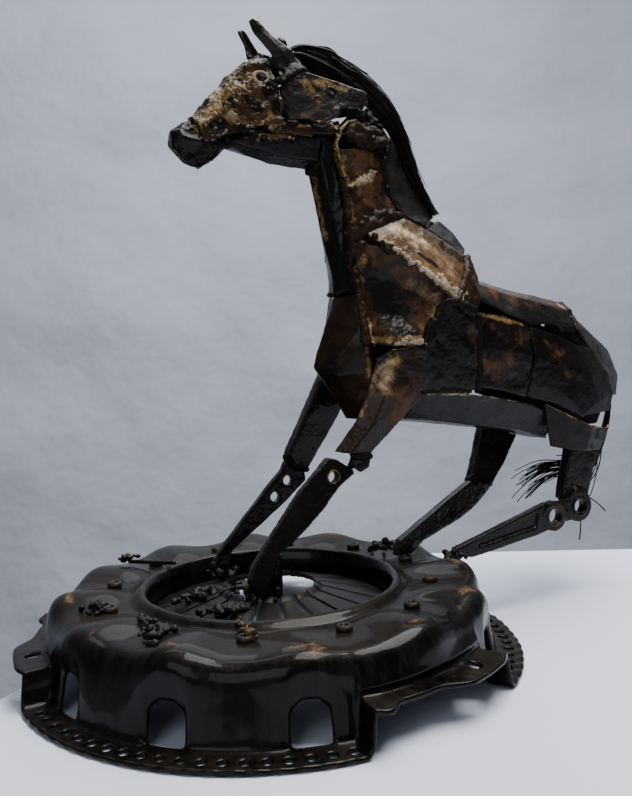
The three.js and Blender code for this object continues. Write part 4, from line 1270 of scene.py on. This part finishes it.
softboxes = {
    "keyLight": {"place": (420, -180, 1650), "aim": (90, 60, 200), "size": (1.3, 1.0), "power": 50,
                 "colour": (1.0, 0.97, 0.93)},
    "fillLight": {"place": (-1300, -1100, 900), "aim": (0, 0, 250), "size": (1.0, 1.0), "power": 7,
                  "colour": (0.88, 0.92, 1.0)},
    "backLight": {"place": (700, 900, 1350), "aim": (100, 0, 250), "size": (1.4, 0.8), "power": 9,
                  "colour": (0.93, 0.95, 1.0)},
    "clothLight": {"place": (300, 700, 2100), "aim": (900, 1900, 500), "size": (2.2, 1.0), "power": 26,
                   "colour": (0.95, 0.96, 1.0)},
}
roomGlow = {"Color": (0.60, 0.64, 0.74, 1), "Strength": 0.24}


def addSoftbox(name, plan):
    light = placed(name, bpy.data.lights.new(name, "AREA"))
    light.data.shape = "RECTANGLE"
    light.data.size, light.data.size_y = plan["size"]
    light.data.energy = plan["power"]
    light.data.color = plan["colour"]
    light.location = at(*plan["place"])
    light.rotation_euler = (at(*plan["aim"]) - light.location).to_track_quat("-Z", "Y").to_euler()


# corners of the table top, and the cloth hung well behind it
tablePlan = {"corners": ((128, 338), (2600, -1096), (2600, -3000), (-1500, -3000), (-1500, -1045)),
             "cloth": (3.2, 2.2), "clothAt": (700, 1900, 700), "depth": 900}


def addStage(plan):
    bm = bmesh.new()
    corners = [bm.verts.new(at(x, y, 0)) for x, y in plan["corners"]]
    top = bmesh.ops.contextual_create(bm, geom=corners)["faces"]
    skirt = bmesh.ops.extrude_face_region(bm, geom=top)
    lowered = [part for part in skirt["geom"] if isinstance(part, bmesh.types.BMVert)]
    bmesh.ops.translate(bm, vec=(0, 0, -plan["depth"] * mm), verts=lowered)
    bmesh.ops.recalc_face_normals(bm, faces=bm.faces)
    table = newPiece("table", bm)
    material, place, connect = newMaterial("paleTable")
    tone = place.blend(place.noise(3, 4, 0.5), (0.66, 0.71, 0.84), (0.76, 0.80, 0.90))
    connect(tone, 0.75, 0.0, place.noise(9, 4, 0.5), 0.006)
    table.data.materials.append(material)
    bm = bmesh.new()
    bmesh.ops.create_grid(bm, x_segments=160, y_segments=110, size=1)
    bmesh.ops.scale(bm, vec=(*plan["cloth"], 1), verts=bm.verts)
    bmesh.ops.rotate(bm, verts=bm.verts, matrix=Matrix.Rotation(math.pi / 2, 3, "X"), cent=(0, 0, 0))
    bmesh.ops.rotate(bm, verts=bm.verts, matrix=Matrix.Rotation(math.radians(-24), 3, "Z"), cent=(0, 0, 0))
    bmesh.ops.translate(bm, verts=bm.verts, vec=at(*plan["clothAt"]))
    cloth = newPiece("cloth", bm)
    addDisplace(cloth, dentTexture("folds", 520, depth=1), 90)
    bake(cloth)
    clothMaterial, place, connect = newMaterial("paleCloth")
    tone = place.blend(place.noise(1.4, 3, 0.5), (0.50, 0.53, 0.62), (0.62, 0.65, 0.72))
    connect(tone, 0.85, 0.0, place.noise(6, 3, 0.5), 0.02)
    cloth.data.materials.append(clothMaterial)


addCamera(cameraPlan)
addStage(tablePlan)
for name, plan in softboxes.items():
    addSoftbox(name, plan)
scene.world = scene.world or bpy.data.worlds.new("studio")
scene.world.use_nodes = True
for key, value in roomGlow.items():
    scene.world.node_tree.nodes["Background"].inputs[key].default_value = value
